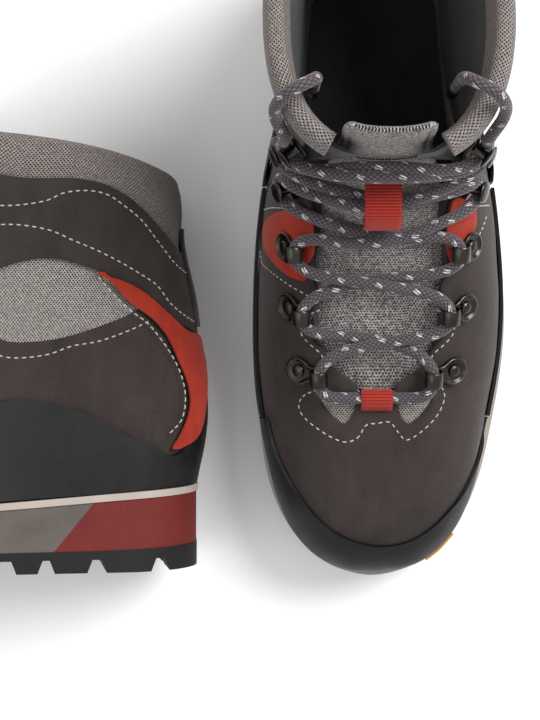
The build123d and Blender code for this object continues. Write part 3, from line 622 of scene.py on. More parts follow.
# The lace's second colour is the painted shade between the braid's strands.
BRAID = braid("lace_braid", rgb(112, 103, 110), rgb(62, 55, 60), rgb(250, 246, 240))
GUNMETAL = metal("gunmetal", (0.038, 0.035, 0.031, 1), 0.27)
STEEL = metal("shank_steel", (0.5, 0.5, 0.5, 1), 0.35)
THREAD = thread("thread_white", rgb(232, 226, 214))
FELT = suede("felt_grey", rgb(70, 70, 72), (0.5, 0.5, 0.5, 1))
BOARD = foam("board", rgb(165, 145, 118))
STIFFENER = foam("stiffener", rgb(200, 196, 186))
PLASTIC = rubber("aglet", rgb(30, 30, 32), 0.3, 0.1)
YELLOW = foam("tab_yellow", rgb(238, 168, 22), 0.92, 1.05)

CAD_LOOKS = dict(
    outsole=SOLE_RUBBER, midsole_heel=RED_FOAM, midsole_front=GREY_FOAM, welt_strip=BEIGE,
    insole_board=BOARD, shank=STEEL, footbed=FELT, lining_shaft=FELT, lining_forefoot=FELT,
    heel_counter=STIFFENER, toe_puff=STIFFENER, vamp=SUEDE, front_quarters=SUEDE,
    rear_quarters=SUEDE, rand_heel=RUBBER, rand_toe=RUBBER, heel_sweep=NUBUCK,
    ankle_band=SUEDE_DARK, eyestay_patches=NUBUCK, ankle_mesh=MESH, throat_mesh=MESH,
    collar=COLLAR_MESH, heel_strip=SUEDE_DARK, tongue=TONGUE_MESH, tongue_top=TONGUE_MESH,
    tongue_keeper=WEBBING, toe_loop=WEBBING, lace_hardware=GUNMETAL, lace=BRAID, aglets=PLASTIC,
)


def dress_cad_nodes():
    for name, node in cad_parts.items():
        node.data.materials.clear()
        node.data.materials.append(CAD_LOOKS[name.split("_", 1)[1]])


dress_cad_nodes()


# ---- camera, floor and light -----------------------------------------------------------------
CAMERA_OVER = (110.5, -53.9)
CAMERA_HEIGHT = 1000.0
VIEW_WIDTH = 253.8  # of the floor, at that height


def make_camera():
    data = bpy.data.cameras.new("camera")
    data.sensor_fit = "HORIZONTAL"
    data.sensor_width = 36.0
    data.lens = data.sensor_width * CAMERA_HEIGHT / VIEW_WIDTH
    camera = bpy.data.objects.new("camera", data)
    camera.location = (CAMERA_OVER[0] * MM, CAMERA_OVER[1] * MM, CAMERA_HEIGHT * MM)
    bpy.context.scene.collection.objects.link(camera)
    bpy.context.scene.camera = camera


FLOOR_WIDE = 12.0


def make_floor():
    mesh = bpy.data.meshes.new("floor")
    half = FLOOR_WIDE / 2
    corners = [(-half, -half, 0), (half, -half, 0), (half, half, 0), (-half, half, 0)]
    mesh.from_pydata(corners, [], [(0, 1, 2, 3)])
    floor = bpy.data.objects.new("floor", mesh)
    bpy.context.scene.collection.objects.link(floor)
    s = Shade("floor", Roughness=0.9, Specular_IOR_Level=0.1)
    s.give("Base Color", s.mix(s.span(s.noise(3.0), 0.3, 0.7), (0.86, 0.86, 0.86, 1), (0.88, 0.88, 0.88, 1)))
    mesh.materials.append(s.material)


def make_light(name, size, power, place, target=(0.11, -0.05, 0.05)):
    data = bpy.data.lights.new(name, "AREA")
    data.shape = "DISK"
    data.size = size
    data.energy = power
    lamp = bpy.data.objects.new(name, data)
    lamp.location = place
    lamp.rotation_mode = "QUATERNION"
    lamp.rotation_quaternion = (Vector(target) - Vector(place)).to_track_quat("-Z", "Y")
    bpy.context.scene.collection.objects.link(lamp)


def make_light_and_floor():
    make_floor()
    make_light("key", 0.9, 26.0, (0.9, 0.5, 1.2))
    make_light("fill", 1.6, 9.0, (-0.9, -0.5, 1.6))
    world = bpy.data.worlds.new("world")
    world.use_nodes = True
    world.node_tree.nodes["Background"].inputs["Color"].default_value = (1, 1, 1, 1)
    world.node_tree.nodes["Background"].inputs["Strength"].default_value = 0.75
    bpy.context.scene.world = world
    bpy.context.scene.view_settings.view_transform = "Standard"


make_camera()
make_light_and_floor()

# ---- lines of the panels ---------------------------------------------------------------------
BAND_TOP = (
    (0, 137), (16, 140), (24, 148.4), (32.7, 157), (41.7, 163.8), (50, 167.7), (62, 169.9), (85, 170),
    (105, 174), (119, 179),
)
BAND_LOW = (
    (0, 102), (9, 104), (19.4, 110), (28.4, 118), (36, 123.4), (46.4, 128), (55, 131.6), (74, 135.9),
    (92, 132), (108, 122), (122, 111), (133, 106),
)
BAND_FRONT = ((132.5, 113), (130, 120), (124.5, 132), (120.5, 146), (119, 162))
COLLAR_TOP = ((0, 172), (20, 175), (45, 182), (75, 187), (105, 190), (124, 191))


def round_heel(points, pitch=1.5):
    """A smooth line in the wall chart through (ahead, height) points, from inner to outer side."""
    inner, outer = on_wall(points, -1), on_wall(points, 1)
    return smooth(np.vstack([inner[::-1], outer[1:]]), pitch=pitch)


def make_ankle_band():
    top, low = round_heel(BAND_TOP), round_heel(BAND_LOW)
    outer = smooth(np.vstack([low[-1:], on_wall(BAND_FRONT, 1), top[-1:]]))
    inner = smooth(np.vstack([top[:1], on_wall(BAND_FRONT[::-1], -1), low[:1]]))
    ring = np.vstack([low[:-1], outer[:-1], top[::-1][:-1], inner[:-1]])
    panel("ankle_band_suede", wall_chart, ring, 2.1, 1.6, SUEDE_DARK, nodes=["ankle_band"], slot="suede_dark")


# The throat's scalloped edge on the outer side, as (x, ahead), from the shaft to the toe loop.
THROAT_EDGE = (
    (35, 128), (32.5, 134), (30, 140), (28.8, 146), (28.3, 151), (28.8, 156.5), (30.8, 161), (31.3, 165),
    (29.5, 169), (27, 173), (26.2, 178), (26.4, 182), (28, 186), (30, 189.5), (29.6, 193.5), (26.5, 198),
    (23.4, 201.5), (21.8, 205), (19.5, 208.5), (15.5, 211.5), (11.2, 214), (8.6, 217.5), (7.6, 222),
    (5.5, 226),
)
LOW_WINDOW = (
    (9.8, 221), (17.2, 218.9), (23.7, 220), (24.3, 223), (21.3, 227.2), (18.1, 230.6), (14.4, 233),
    (11.4, 230.8), (9.6, 226),
)
PANEL_LOW = 86.0  # distance from the ridge to the welt in the arch chart
TOE_END = 292.0


def make_forefoot():
    """The suede over the toe and both sides of the throat, with its two mesh windows."""
    edge = [(-x, a) for x, a in THROAT_EDGE] + [(0, 227.2)] + [(x, a) for x, a in THROAT_EDGE[::-1]]
    throat = smooth(on_arch(edge), pitch=1.2)
    outer = np.array([(PANEL_LOW, SEAM), (PANEL_LOW, TOE_END)])
    ring = np.vstack([
        throat,
        even(np.vstack([throat[-1:], outer[:1]]), 2.5)[1:-1],
        even(outer, 2.5)[:-1],
        even(np.array([(PANEL_LOW, TOE_END), (-PANEL_LOW, TOE_END)]), 2.5)[:-1],
        even(np.array([(-PANEL_LOW, TOE_END), (-PANEL_LOW, SEAM)]), 2.5)[:-1],
        even(np.vstack([[(-PANEL_LOW, SEAM)], throat[:1]]), 2.5)[:-1],
    ])
    windows = [smooth(on_arch([(side * x, a) for x, a in LOW_WINDOW]), True, 0.9) for side in (1, -1)]
    panel("forefoot_suede", arch_chart, ring, 0.0, 2.0, SUEDE, windows, rim=0.45, step=2.8, wave=0.25,
          nodes=["vamp", "front_quarters"], slot="suede")
    for side, window in zip(("outer", "inner"), windows):
        back = inset(window, -3.0)
        panel(f"window_mesh_{side}", arch_chart, back, -1.7, 0.8, MESH, wave=0.0, slot="mesh",
              nodes=["throat_mesh"] if side == "outer" else [])


RED_OUTER = ((30.5, 138), (37.1, 138.2), (40.6, 142), (41.0, 147), (39, 153), (35.4, 158.6), (30.5, 163.6),
             (28.9, 161), (27.8, 156), (27.4, 150), (28.4, 144))
RED_INNER = ((-31, 141.5), (-40, 141.3), (-46.5, 143.5), (-48.5, 148), (-48, 155), (-43.5, 163.5),
             (-36, 169.8), (-30.4, 171), (-30.5, 166), (-27.4, 160), (-27.3, 152), (-28.5, 146))


REAR_TOP = (
    (0, 97), (12, 99), (20, 105), (27, 110.5), (33, 114), (40, 110.8), (50, 107), (63, 102.8), (74, 100.5),
    (92, 100.5), (103, 108), (112, 121), (127, 117),
)
REAR_LOW = ((0, 38), (12, 37.5), (40, 36), (80, 33), (127, 30))


def make_rear():
    """The suede round the heel, under the nubuck sweep and the rubber rand."""
    top, low = round_heel(REAR_TOP), round_heel(REAR_LOW, 2.5)
    ends = even(np.vstack([low[-1:], top[-1:]]), 2.5)[1:-1], even(np.vstack([top[:1], low[:1]]), 2.5)[1:-1]
    ring = np.vstack([low, ends[0], top[::-1], ends[1]])
    panel("rear_suede", wall_chart, ring, 0.0, 2.0, SUEDE, rim=0.45, wave=0.2,
          nodes=["rear_quarters"], slot="suede")


def make_eyestay_patches():
    for side, points in (("outer", RED_OUTER), ("inner", RED_INNER)):
        ring = smooth(on_arch(points), True, 1.0)
        panel(f"eyestay_nubuck_{side}", arch_chart, ring, 1.1, 1.1, NUBUCK, rim=0.35, step=1.8, wave=0.1,
              nodes=["eyestay_patches"] if side == "outer" else [], slot="nubuck_red")


MESH_LOW = ((22, 106), (28, 107), (38.7, 106), (50, 103.5), (63, 99.5), (74, 97), (95, 97), (112, 112))
MESH_TOP = ((112, 122), (95, 136), (74, 139.5), (50, 134), (36, 127), (27, 120), (21, 113))


def make_ankle_mesh():
    for side, name in ((1, "outer"), (-1, "inner")):
        ring = smooth(on_wall(MESH_LOW + MESH_TOP, side), True, 1.8)
        panel(f"ankle_mesh_{name}", wall_chart, ring, -0.7, 1.2, MESH, rim=0.3, step=2.6, wave=0.25,
              nodes=["ankle_mesh"] if side > 0 else [], slot="mesh")


def grid_faces(rows, columns, closed=False):
    """Quads of a grid of points, whose columns may close into a ring."""
    faces = []
    for i in range(rows - 1):
        for j in range(columns if closed else columns - 1):
            k = (j + 1) % columns
            faces.append((i * columns + j, i * columns + k, (i + 1) * columns + k, (i + 1) * columns + j))
    return faces


COLLAR_PUFF = 1.5  # how far the padding swells out of its seam lines


def make_collar():
    """The padded collar: out and up from under the band, over a round top and down inside."""
    top_line = round_heel(BAND_TOP)
    rim_line = round_heel(COLLAR_TOP)
    turns = np.linspace(-82, 82, 110)
    outer, inner = 0.6, -7.2
    middle, radius = (outer + inner) / 2, (outer - inner) / 2
    rows, uv = [], []
    for turn in turns:
        s = np.interp(turn, TURNS, _girth)
        low = np.interp(s, top_line[:, 0], top_line[:, 1]) - 4
        high = np.interp(s, rim_line[:, 0], rim_line[:, 1])
        up = np.linspace(0, 1, 9)
        puff = COLLAR_PUFF * np.sin(math.pi * np.clip(up * 1.25 - 0.25, 0, 1)) ** 0.8
        roll = np.radians(np.linspace(15, 165, 9))
        z = np.concatenate([low + (high - radius - low) * up, high - radius + radius * np.sin(roll),
                            (high - radius) + (low - high + radius) * up])
        level = np.concatenate([outer + puff, middle + radius * np.cos(roll), inner - puff * 0.6])
        pleat = 0.25 * np.sin(s / 9.0 + z / 17.0)
        rows.append(raised(wall_point(np.full(len(z), turn), z), level + pleat))
        around = np.concatenate([[0], np.cumsum(np.hypot(np.diff(z), np.diff(level)))])
        uv.append(np.stack([np.full(len(z), s), around], 1))
    count = len(rows[0])
    faces = grid_faces(len(rows), count, closed=True)
    faces += [tuple(range(count))[::-1], tuple((len(rows) - 1) * count + i for i in range(count))]
    place("collar_padding", np.vstack(rows), faces, COLLAR_MESH, ["collar"], np.vstack(uv),
          slot="mesh_collar", pad=0.7, sharp=60)


TONGUE_WIDE = Profile(
    (-4, 20), (20, 23), (42, 26), (58, 34), (70, 36), (90, 34), (105, 24), (112, 18)
)
PAD_HALF = Profile((0, 17), (30, 19), (50, 21), (66, 21), (82, 17), (96, 12), (106, 9))


def quilted(x, turn):
    """How far the tongue's face stands over its flat: pads between sewn channels."""
    seam = np.abs(np.abs(x) - PAD_HALF(turn))
    rows = np.abs((turn - 4.0) % 19.0 - 9.5)
    cross = np.where(np.abs(x) < PAD_HALF(turn), 9.5 - rows, 9.0)
    channel = np.minimum(seam, 2.0 * cross)
    return 1.5 * (1 - np.exp(-channel / 2.2)) - 0.9


TONGUE_ACROSS = 61  # points across the padding
TONGUE_CLOTH = 1.75  # millimetres of cloth to a degree of the fan


def make_tongue(name, first, last, node, part):
    turns = np.linspace(first, last, round((last - first) * 1.5))
    rows, uv = [], []
    for turn in turns:
        half = TONGUE_WIDE(turn)
        end = min(1.0, (turn - turns[0] + 0.8) / 5.0) if first < 10 else 1.0
        half = half * (0.72 + 0.28 * math.sqrt(end))
        x = np.linspace(-half, half, TONGUE_ACROSS)
        edge = np.clip((half - np.abs(x)) / 3.0, 0, 1) ** 0.5
        middle, thick = (TONGUE[0] + TONGUE[1]) / 2, (TONGUE[1] - TONGUE[0]) / 2
        face = middle + (thick + quilted(x, np.full(TONGUE_ACROSS, turn))) * np.minimum(edge, end**0.5)
        back = middle - thick * np.minimum(edge, end**0.5) * 0.9
        base = fan_chart(np.stack([x, np.full(TONGUE_ACROSS, turn * FAN_SCALE)], 1))
        rows.append(np.vstack([raised(base, face), raised(base, back)[::-1]]))
        along = np.full(TONGUE_ACROSS, turn * TONGUE_CLOTH)
        uv.append(np.vstack([np.stack([x, along], 1), np.stack([x[::-1], along], 1)]))
    count = len(rows[0])
    faces = [f[::-1] for f in grid_faces(len(rows), count, closed=True)]
    faces += [tuple(range(count)), tuple((len(rows) - 1) * count + i for i in range(count))[::-1]]
    place(name, np.vstack(rows), faces, TONGUE_MESH, [node], np.vstack(uv), part, "mesh_tongue", 60, 0.6)


# ---- webbing ---------------------------------------------------------------------------------
KEEPER = (50.0, 64.0)
KEEPER_HALF = 7.5
KEEPER_RISE = 15.2
TAPE = 1.3


def strap(name, line, half, material, node, across=13):
    """A tape along a line of (centre point, up direction) stations, with rounded edges."""
    rows, uv, way = [], [], 0.0
    for i, (centre, up) in enumerate(line):
        if i:
            way += np.linalg.norm(centre - line[i - 1][0])
        x = np.linspace(-half, half, across)
        edge = np.sqrt(np.clip(1 - (np.abs(x) / half) ** 14, 0.05, 1))
        side = np.stack([x, x * 0, x * 0], 1)
        top = centre + side + up * (TAPE / 2) * edge[:, None]
        low = centre + side - up * (TAPE / 2) * edge[:, None]
        rows.append(np.vstack([top, low[::-1]]))
        uv.append(np.stack([np.full(2 * across, way), np.concatenate([x, x[::-1]])], 1))
    count = 2 * across
    faces = grid_faces(len(rows), count, closed=True)
    faces += [tuple(range(count))[::-1], tuple((len(rows) - 1) * count + i for i in range(count))]
    place(name, np.vstack(rows), faces, material, [node], np.vstack(uv), slot="webbing_red")


def over_tongue(turn, x, above):
    base = fan_chart(np.array([[x, turn * FAN_SCALE]]))
    return raised(base, TONGUE[1] + above)[0]


def make_keeper():
    line = []
    for share in np.linspace(0, 1, 33):
        turn = KEEPER[0] + (KEEPER[1] - KEEPER[0]) * share
        rise = KEEPER_RISE * (1 - abs(2 * share - 1) ** 3.0)
        line.append(over_tongue(turn, 0.0, 0.9 + rise))
    line = np.array(line)
    way = np.gradient(line, axis=0)
    up = np.cross(way, (1.0, 0, 0))
    up /= np.linalg.norm(up, axis=1, keepdims=True)
    up *= np.sign(up[:, 2:3])
    strap("keeper_webbing", list(zip(line, up)), KEEPER_HALF, WEBBING, "tongue_keeper")


TOE_LOOP = (221.5, 83.5)
TOE_LOOP_HALF = 6.8


def make_toe_loop():
    """Webbing folded round the lace, its two layers sewn down ahead of it."""
    radius = LACE / 2 + 0.35 + TAPE / 2
    line = []
    for angle in np.radians(np.linspace(-120, 150, 28)):
        out = np.array([0.0, -math.cos(angle), math.sin(angle)])
        line.append((np.array([0.0, *TOE_LOOP]) + out * radius, out))
    start = line[-1][0]
    tail = on_panel(0.0, 226.6, 0.8)
    for share in np.linspace(0.15, 1, 10):
        point = start + (tail - start) * share
        ground = on_panel(0.0, point[1], 0.75)
        point[2] = max(point[2] if share < 0.5 else 0, ground[2])
        line.append((point, np.array([0.0, 0.35, 0.94])))
    strap("toe_loop_webbing", line, TOE_LOOP_HALF, WEBBING, "toe_loop")


def on_panel(x, ahead, level):
    return raised(arch_chart(on_arch([(x, ahead)])), level)[0]


# ---- lace --------------------------------------------------------------------------------------
LOOPS = ((209.0, 22.5, 32.5), (182.0, 27.5, 36.5), (156.5, 28.5, 38.0))
LOW_HOOK = (133.0, 36.0)
HIGH_HOOKS = ((131.0, 75.0), (153.0, 74.0))
HOOK_REACH = 6.0
CROSS_LOW, CROSS_HIGH = 4.6, 10.2
CROSSINGS = (92.5, 79.0, 69.0, 57.5, 36.0)
LACE_TAIL = (
    (45.5, 110.0, 186.0), (40.5, 105.0, 203.0), (30.0, 100.0, 203.0), (28.0, 97.0, 188.0),
    (28.5, 96.0, 168.0), (28.5, 96.0, 148.0),
)
MIRROR = np.array([-1.0, 1.0, 1.0])


def loop_place(loop, side):
    """A lace loop's rivet place, normal, the way to its barrel and the lace's way through it."""
    ahead, barrel, rivet = loop
    head = arch_chart(on_arch([(side * rivet, ahead)]))
    normal = slope(head)[0]
    inward = np.array([-side, 0.0, 0.0])
    inward = inward - normal * np.dot(inward, normal)
    inward /= np.linalg.norm(inward)
    lift = LOOP_BORE / 2 + LOOP_WALL + 0.2
    centre = head[0] + normal * (LOOP_STAND + lift) + inward * ((rivet - barrel) * 1.12 + 1.6)
    along = np.cross(normal, inward)
    return head[0], normal, inward, centre, along if along[1] < 0 else -along


def hook_place(number):
    """Foot of a hook on the outer side, its normal, the way up the boot and the way inwards."""
    if number == 0:
        ahead, out = LOW_HOOK
        foot = raised(arch_chart(on_arch([(out, ahead)])), 0.3)
        way = np.array([0.0, -1.0, 0.8])
    else:
        z, turn = HIGH_HOOKS[number - 1]
        foot = raised(wall_point(np.array([turn]), np.array([z])), OVERLAY[1])
        way = np.array([0.0, 0.0, 1.0])
    normal = slope(foot)[0]
    up = way - normal * np.dot(normal, way)
    up /= np.linalg.norm(up)
    inward = np.cross(normal, up)
    return foot[0], normal, up, inward if inward[0] < 0 else -inward


def lace_side(side):
    """The lace from the toe loop to its tucked-in end, starting on one side."""
    points, at = [], side
    for number, loop in enumerate(LOOPS):
        *_, centre, along = loop_place(loop, at)
        points += [centre - along * 8.5, centre + along * 8.5]
        above = CROSS_LOW if (at > 0) == (number % 2 == 0) else CROSS_HIGH
        points.append(over_tongue(CROSSINGS[number], at * 1.5, above))
        at = -at
    for number in range(3):
        foot, normal, up, inward = hook_place(number)
        middle = foot + normal * (1.3 + HOOK_REACH / 2)
        here = [middle + inward * 9.5 - up * 5.6, middle - inward * 5.2 - up * 5.0]
        here += [middle - inward * 5.2 + up * 5.0, middle + inward * 9.5 + up * 5.6]
        if number == 2:
            here = here[:3] + [middle - inward * 4.6 + up * 15.0]
        points += [p if at > 0 else p * MIRROR for p in here]
        if number < 2:
            above = CROSS_LOW if (at > 0) == (number % 2 == 0) else CROSS_HIGH
            points.append(over_tongue(CROSSINGS[3 + number], at * 1.5, above))
            at = -at
    return points + [np.array(p) if at > 0 else np.array(p) * MIRROR for p in LACE_TAIL]


def centreline(points):
    """Points along the smooth NURBS line that a route controls."""
    curve = bpy.data.curves.new("route", "CURVE")
    curve.dimensions = "3D"
    curve.resolution_u = 14
    spline = curve.splines.new("NURBS")
    spline.points.add(len(points) - 1)
    for point, place_at in zip(spline.points, points):
        point.co = (*place_at, 1.0)
    spline.order_u = 3
    spline.use_endpoint_u = True
    holder = bpy.data.objects.new("route", curve)
    bpy.context.scene.collection.objects.link(holder)
    bpy.context.view_layer.update()
    mesh = bpy.data.meshes.new_from_object(holder.evaluated_get(bpy.context.evaluated_depsgraph_get()))
    line = np.array([v.co for v in mesh.vertices])
    bpy.data.objects.remove(holder)
    bpy.data.curves.remove(curve)
    bpy.data.meshes.remove(mesh)
    return line


def tube(line, radius, round_count=14, squeeze=1.0):
    """A round tube along a line: its points, faces and a UV of (once round, along)."""
    way = np.gradient(line, axis=0)
    way /= np.linalg.norm(way, axis=1, keepdims=True)
    side = np.cross(way[0], (0, 0, 1.0))
    side /= np.linalg.norm(side)
    rows, uv, along = [], [], 0.0
    for i, (point, forward) in enumerate(zip(line, way)):
        side = side - forward * np.dot(side, forward)
        side /= np.linalg.norm(side)
        other = np.cross(forward, side)
        along += np.linalg.norm(point - line[i - 1]) if i else 0.0
        angle = np.linspace(0, 2 * math.pi, round_count + 1)
        wide = radius if np.isscalar(radius) else radius[i]
        rows.append(point + wide * (np.cos(angle)[:, None] * side + squeeze * np.sin(angle)[:, None] * other))
        uv.append(np.stack([angle / (2 * math.pi), np.full(len(angle), along)], 1))
    count = round_count + 1
    faces = [f[::-1] for f in grid_faces(len(rows), count)]
    faces += [tuple(range(round_count)), tuple((len(rows) - 1) * count + i for i in range(round_count))[::-1]]
    return np.vstack(rows), faces, np.vstack(uv)


def make_lace():
    toe = [np.array([-9, 221.5, 83.5]), np.array([9, 221.5, 83.5])]
    route = lace_side(-1)[::-1] + toe + lace_side(1)
    line = even(centreline(route), 1.3)
    verts, faces, uv = tube(line, LACE / 2)
    place("lace_braided", verts, faces, BRAID, ["lace"], uv, slot="lace_braid", sharp=0)


# ---- hooks and loops ---------------------------------------------------------------------------
def lathe(profile, count=28):
    """A turned shape about its own z from (radius, height) points."""
    angle = np.linspace(0, 2 * math.pi, count, endpoint=False)
    rows = [np.stack([r * np.cos(angle), r * np.sin(angle), np.full(count, z)], 1) for r, z in profile]
    faces = grid_faces(len(rows), count, closed=True)
    return np.vstack(rows), faces


DOME = ((2.9, 0.35), (2.9, 0.9), (2.6, 1.35), (2.0, 1.75), (1.2, 2.0), (0.4, 2.1), (0.02, 2.1))
HOOK = (
    (0.02, 0.0), (5.0, 0.0), (5.2, 0.2), (5.2, 0.6), (4.9, 0.9), (3.2, 1.1), (2.3, 1.5), (2.0, 2.2),
    (2.0, 6.2), (2.3, 6.9), (3.6, 7.2), (4.5, 7.5), (4.7, 7.9), (4.4, 8.4), (3.2, 8.8), (1.4, 9.1),
    (0.02, 9.15),
)


HEAD_RADIUS = 6.25
# The pressed plate's edge from its underside over the rim into the hollow, as (inwards, height).
PLATE_EDGE = ((0.3, 0.0), (0, 0.25), (0, 0.95), (0.3, 1.35), (0.8, 1.5), (1.25, 1.2), (1.6, 0.6), (2.2, 0.45))


def loop_shape(reach):
    """A pressed loop: rimmed teardrop plate, rivet in its hollow, barrel at the narrow end."""
    arc = np.radians(np.linspace(58, 302, 30))
    head = np.stack([HEAD_RADIUS * np.cos(arc), HEAD_RADIUS * np.sin(arc)], 1)
    neck = np.array([
        (reach * 0.55, -3.5), (reach + 1.0, -3.2), (reach + 1.6, 0.0), (reach + 1.0, 3.2),
        (reach * 0.55, 3.5),
    ])
    ring = smooth(np.vstack([head, neck]), True, 0.9)
    rows = [np.hstack([inset(ring, deep), np.full((len(ring), 1), high)]) for deep, high in PLATE_EDGE]
    verts, count = np.vstack(rows), len(ring)
    faces = grid_faces(len(rows), count, closed=True)
    faces += [tuple(range(count))[::-1], tuple((len(rows) - 1) * count + i for i in range(count))]
    parts = [(verts, faces), lathe(DOME)]
    inner, outer, half = LOOP_BORE / 2, LOOP_BORE / 2 + LOOP_WALL, 3.25
    mouth = (
        (inner, 0), (inner, half), (inner + 0.25, half + 0.25), (outer - 0.25, half + 0.2),
        (outer, half - 0.2), (outer, 0),
    )
    around = list(mouth) + [(r, -z) for r, z in mouth[::-1][1:-1]] + [mouth[0]]
    barrel, barrel_faces = lathe(around)
    barrel = barrel[:, [0, 2, 1]] + (reach + 1.6, 0, outer + 0.2)
    return parts + [(barrel, [f[::-1] for f in barrel_faces])]


def make_hardware():
    verts, faces = [], []

    def put(shape, origin, x, y, z):
        points, rings = shape
        first = sum(len(v) for v in verts)
        verts.append(origin + points @ np.stack([x, y, z]))
        turned = np.dot(np.cross(x, y), z) < 0
        faces.extend(tuple(first + i for i in (f if turned else f[::-1])) for f in rings)

    for side in (1, -1):
        for loop in LOOPS:
            head, normal, inward, _, along = loop_place(loop, side)
            for shape in loop_shape((loop[2] - loop[1]) * 1.12):
                put(shape, head + normal * LOOP_STAND, inward, along, normal)
        for number in range(3):
            foot, normal, up, inward = hook_place(number)
            flip = MIRROR if side < 0 else 1.0
            put(lathe(HOOK), (foot + normal * 0.1) * flip, up * flip, inward * flip, normal * flip)
    place("lace_loops_and_hooks", np.vstack(verts), faces, GUNMETAL, ["lace_hardware"],
          slot="gunmetal", sharp=50)


# The plain yellow tab's line along the toe's outer side, as (x, ahead), and its height.
TAB_LINE = ((24.0, 294.9), (29.8, 290.3), (36.3, 283.1))
TAB_LOW, TAB_HIGH = 17.0, 34.2
TAB_THICK, TAB_SUNK = 1.6, 1.2  # how far it stands out of that line, and goes in behind it


def make_tab():
    """A plain yellow tab wrapped on the edge of the sole at the toe."""
    line = smooth(np.array(TAB_LINE, float), pitch=1.0)
    way = np.gradient(line, axis=0)
    out = np.stack([-way[:, 1], way[:, 0]], 1)
    out *= np.sign(out[:, 1:2]) / np.linalg.norm(out, axis=1, keepdims=True)
    section = (
        (-TAB_SUNK, TAB_LOW), (TAB_THICK - 0.4, TAB_LOW), (TAB_THICK, TAB_LOW + 0.5),
        (TAB_THICK, TAB_HIGH - 0.6), (TAB_THICK - 0.5, TAB_HIGH), (-TAB_SUNK, TAB_HIGH),
    )
    verts = []
    for point, side in zip(line, out):
        for depth, z in section:
            x, ahead = point + side * depth
            verts.append((x, ahead, z))
    faces = grid_faces(len(line), len(section), closed=True)
    count = len(section)
    faces += [tuple(range(count))[::-1], tuple((len(line) - 1) * count + i for i in range(count))]
    place("tab_yellow", np.array(verts), faces, YELLOW, sharp=40)


# ---- stitching ----------------------------------------------------------------------------------
STITCH = 2.2
STITCH_PITCH = 3.3
THREAD_WIDE = 0.62


def dash():
    """One stitch: a short thread that dives into the leather at both ends."""
    rows, count = [], 6
    for share in np.linspace(-1, 1, 7):
        high = 0.16 - 0.5 * share**4
        wide = THREAD_WIDE / 2 * math.sqrt(max(0.12, 1 - abs(share) ** 5))
        angle = np.linspace(0, 2 * math.pi, count, endpoint=False)
        along = np.full(count, share * STITCH / 2)
        rows.append(np.stack([along, wide * np.cos(angle), high + wide * np.sin(angle)], 1))
    faces = grid_faces(len(rows), count, closed=True)
    faces += [tuple(range(count))[::-1], tuple((len(rows) - 1) * count + i for i in range(count))]
    return np.vstack(rows), faces


class Stitches:
    """Gathers rows of stitches and makes them one piece on each boot."""

    def __init__(self):
        self.verts, self.faces = [], []
        self.shape, self.shape_faces = dash()

    def row(self, chart, line, level, closed=False):
        line = smooth(line, closed, 0.8)
        base = chart(line)
        points = raised(base, level)
        way = np.concatenate([[0], np.cumsum(np.linalg.norm(np.diff(points, axis=0), axis=1))])
        count = max(1, round(way[-1] / STITCH_PITCH))
        for number in range(count):
            at = (number + 0.5) * way[-1] / count
            ends = [np.array([np.interp(at + d, way, points[:, k]) for k in range(3)]) for d in (-1, 1)]
            middle = (ends[0] + ends[1]) / 2
            forward = ends[1] - ends[0]
            forward /= np.linalg.norm(forward)
            normal = slope(middle[None])[0]
            normal -= forward * np.dot(normal, forward)
            normal /= np.linalg.norm(normal)
            across = np.cross(normal, forward)
            first = sum(len(v) for v in self.verts)
            self.verts.append(middle + self.shape @ np.stack([forward, across, normal]))
            self.faces += [tuple(first + i for i in f[::-1]) for f in self.shape_faces]

    def make(self, name):
        place(name, np.vstack(self.verts), self.faces, THREAD, sharp=0)


BUTTERFLY_OUTER = (
    (0.2, 232.5), (5.6, 231.7), (9, 235.5), (12.1, 239.4), (13.8, 239.8), (18.1, 237.3), (23.2, 233),
    (27.1, 228.2), (29.3, 223.1), (29.7, 220.5), (28.4, 217), (25.2, 215),
)
BUTTERFLY_INNER = (
    (0.2, 232.5), (-4.3, 233), (-7.7, 238.5), (-12.9, 240.7), (-18.5, 239), (-26.2, 234.2),
    (-31.8, 229.1), (-33.5, 225.2), (-31.8, 220.9), (-25, 217.6),
)
SCALLOP_OUTER = (
    (24.5, 183.5), (29.5, 185.8), (32.6, 188.6), (32.6, 193.6), (29, 198), (24.5, 202), (22.6, 205),
)
ARC_OUTER = ((47.1, 142.7), (44.8, 148.5), (41.7, 153.9), (37.5, 160.6), (32.9, 165.9), (29.5, 169.8))
ARC_INNER = ((-50.2, 156), (-49.7, 161), (-44.3, 167.6), (-34.8, 174.7), (-28.6, 178.3))
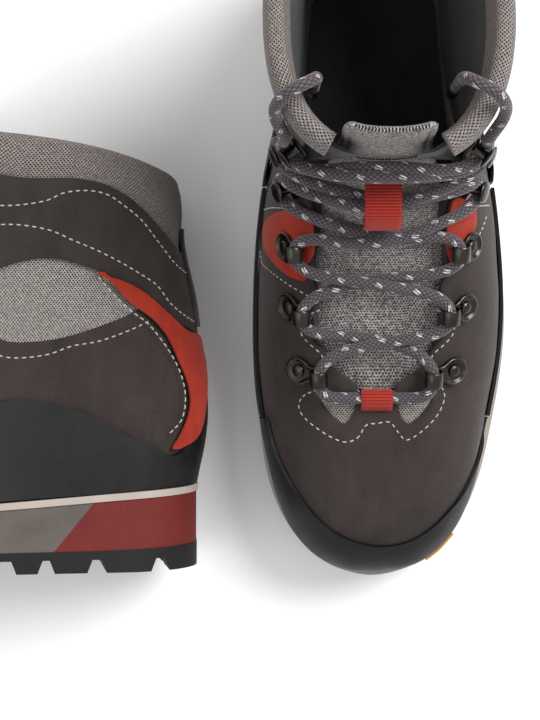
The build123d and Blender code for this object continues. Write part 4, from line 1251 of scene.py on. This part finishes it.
BAND_UPPER = (
    (0, 127.5), (12, 129), (18.1, 133.4), (25.5, 142.1), (33.5, 152.2), (40.4, 157.9), (49.7, 163.6),
    (58.5, 164.8), (67.9, 163.4), (73.5, 160.6), (92, 158), (112, 161),
)
BAND_LOWER = (
    (5.3, 105.8), (12.9, 110.5), (20.8, 116.6), (26.8, 124.3), (34.9, 129.7), (43, 134.4), (53, 139.4),
    (63.2, 143.6), (73.5, 147.9), (92, 150), (112, 146),
)
UNDER_MESH = (
    (28.8, 109.2), (33.5, 106.9), (40.9, 103.8), (51.6, 100.2), (63.2, 98.1), (74, 94.4), (92, 93.5),
    (104, 99),
)
# The row beside the heel sweep. It has the level of the sweep's outer face but lies just ahead of
# the sweep, so it stands about 3 mm off the suede there.
SWEEP_LEVEL = 3.4
SWEEP_ROW = (
    (22, 60), (16.6, 66), (15, 76), (17.2, 86), (23, 97), (31, 107.6), (39, 113.8), (47, 121.5),
    (53, 128.5),
)


def make_stitching():
    made = Stitches()
    for line in (BUTTERFLY_OUTER, BUTTERFLY_INNER):
        made.row(arch_chart, on_arch(line), 0.0)
    for side in (1, -1):
        made.row(arch_chart, on_arch([(side * x, a) for x, a in SCALLOP_OUTER]), 0.0)
        made.row(wall_chart, on_wall(BAND_UPPER, side), 2.1)
        made.row(wall_chart, on_wall(BAND_LOWER, side), 2.1)
        made.row(wall_chart, on_wall(UNDER_MESH, side), 0.0)
        made.row(wall_chart, on_wall(SWEEP_ROW, side), SWEEP_LEVEL)
        made.row(arch_chart, on_arch([(side * 39, 140.5), (side * 45, 139), (side * 49, 138)]), 0.0)
    made.row(arch_chart, on_arch(ARC_OUTER), 0.0)
    made.row(arch_chart, on_arch(ARC_INNER), 0.0)
    made.make("stitching")


make_ankle_band()
make_forefoot()
make_rear()
make_eyestay_patches()
make_ankle_mesh()
make_collar()
make_tongue("tongue_quilt", 42.5, 103.0, "tongue", "boot")
make_tongue("tongue_top_quilt", 2.0, 41.7, "tongue_top", "tongue_top")
make_keeper()
make_toe_loop()
make_lace()
make_hardware()
make_tab()
make_stitching()
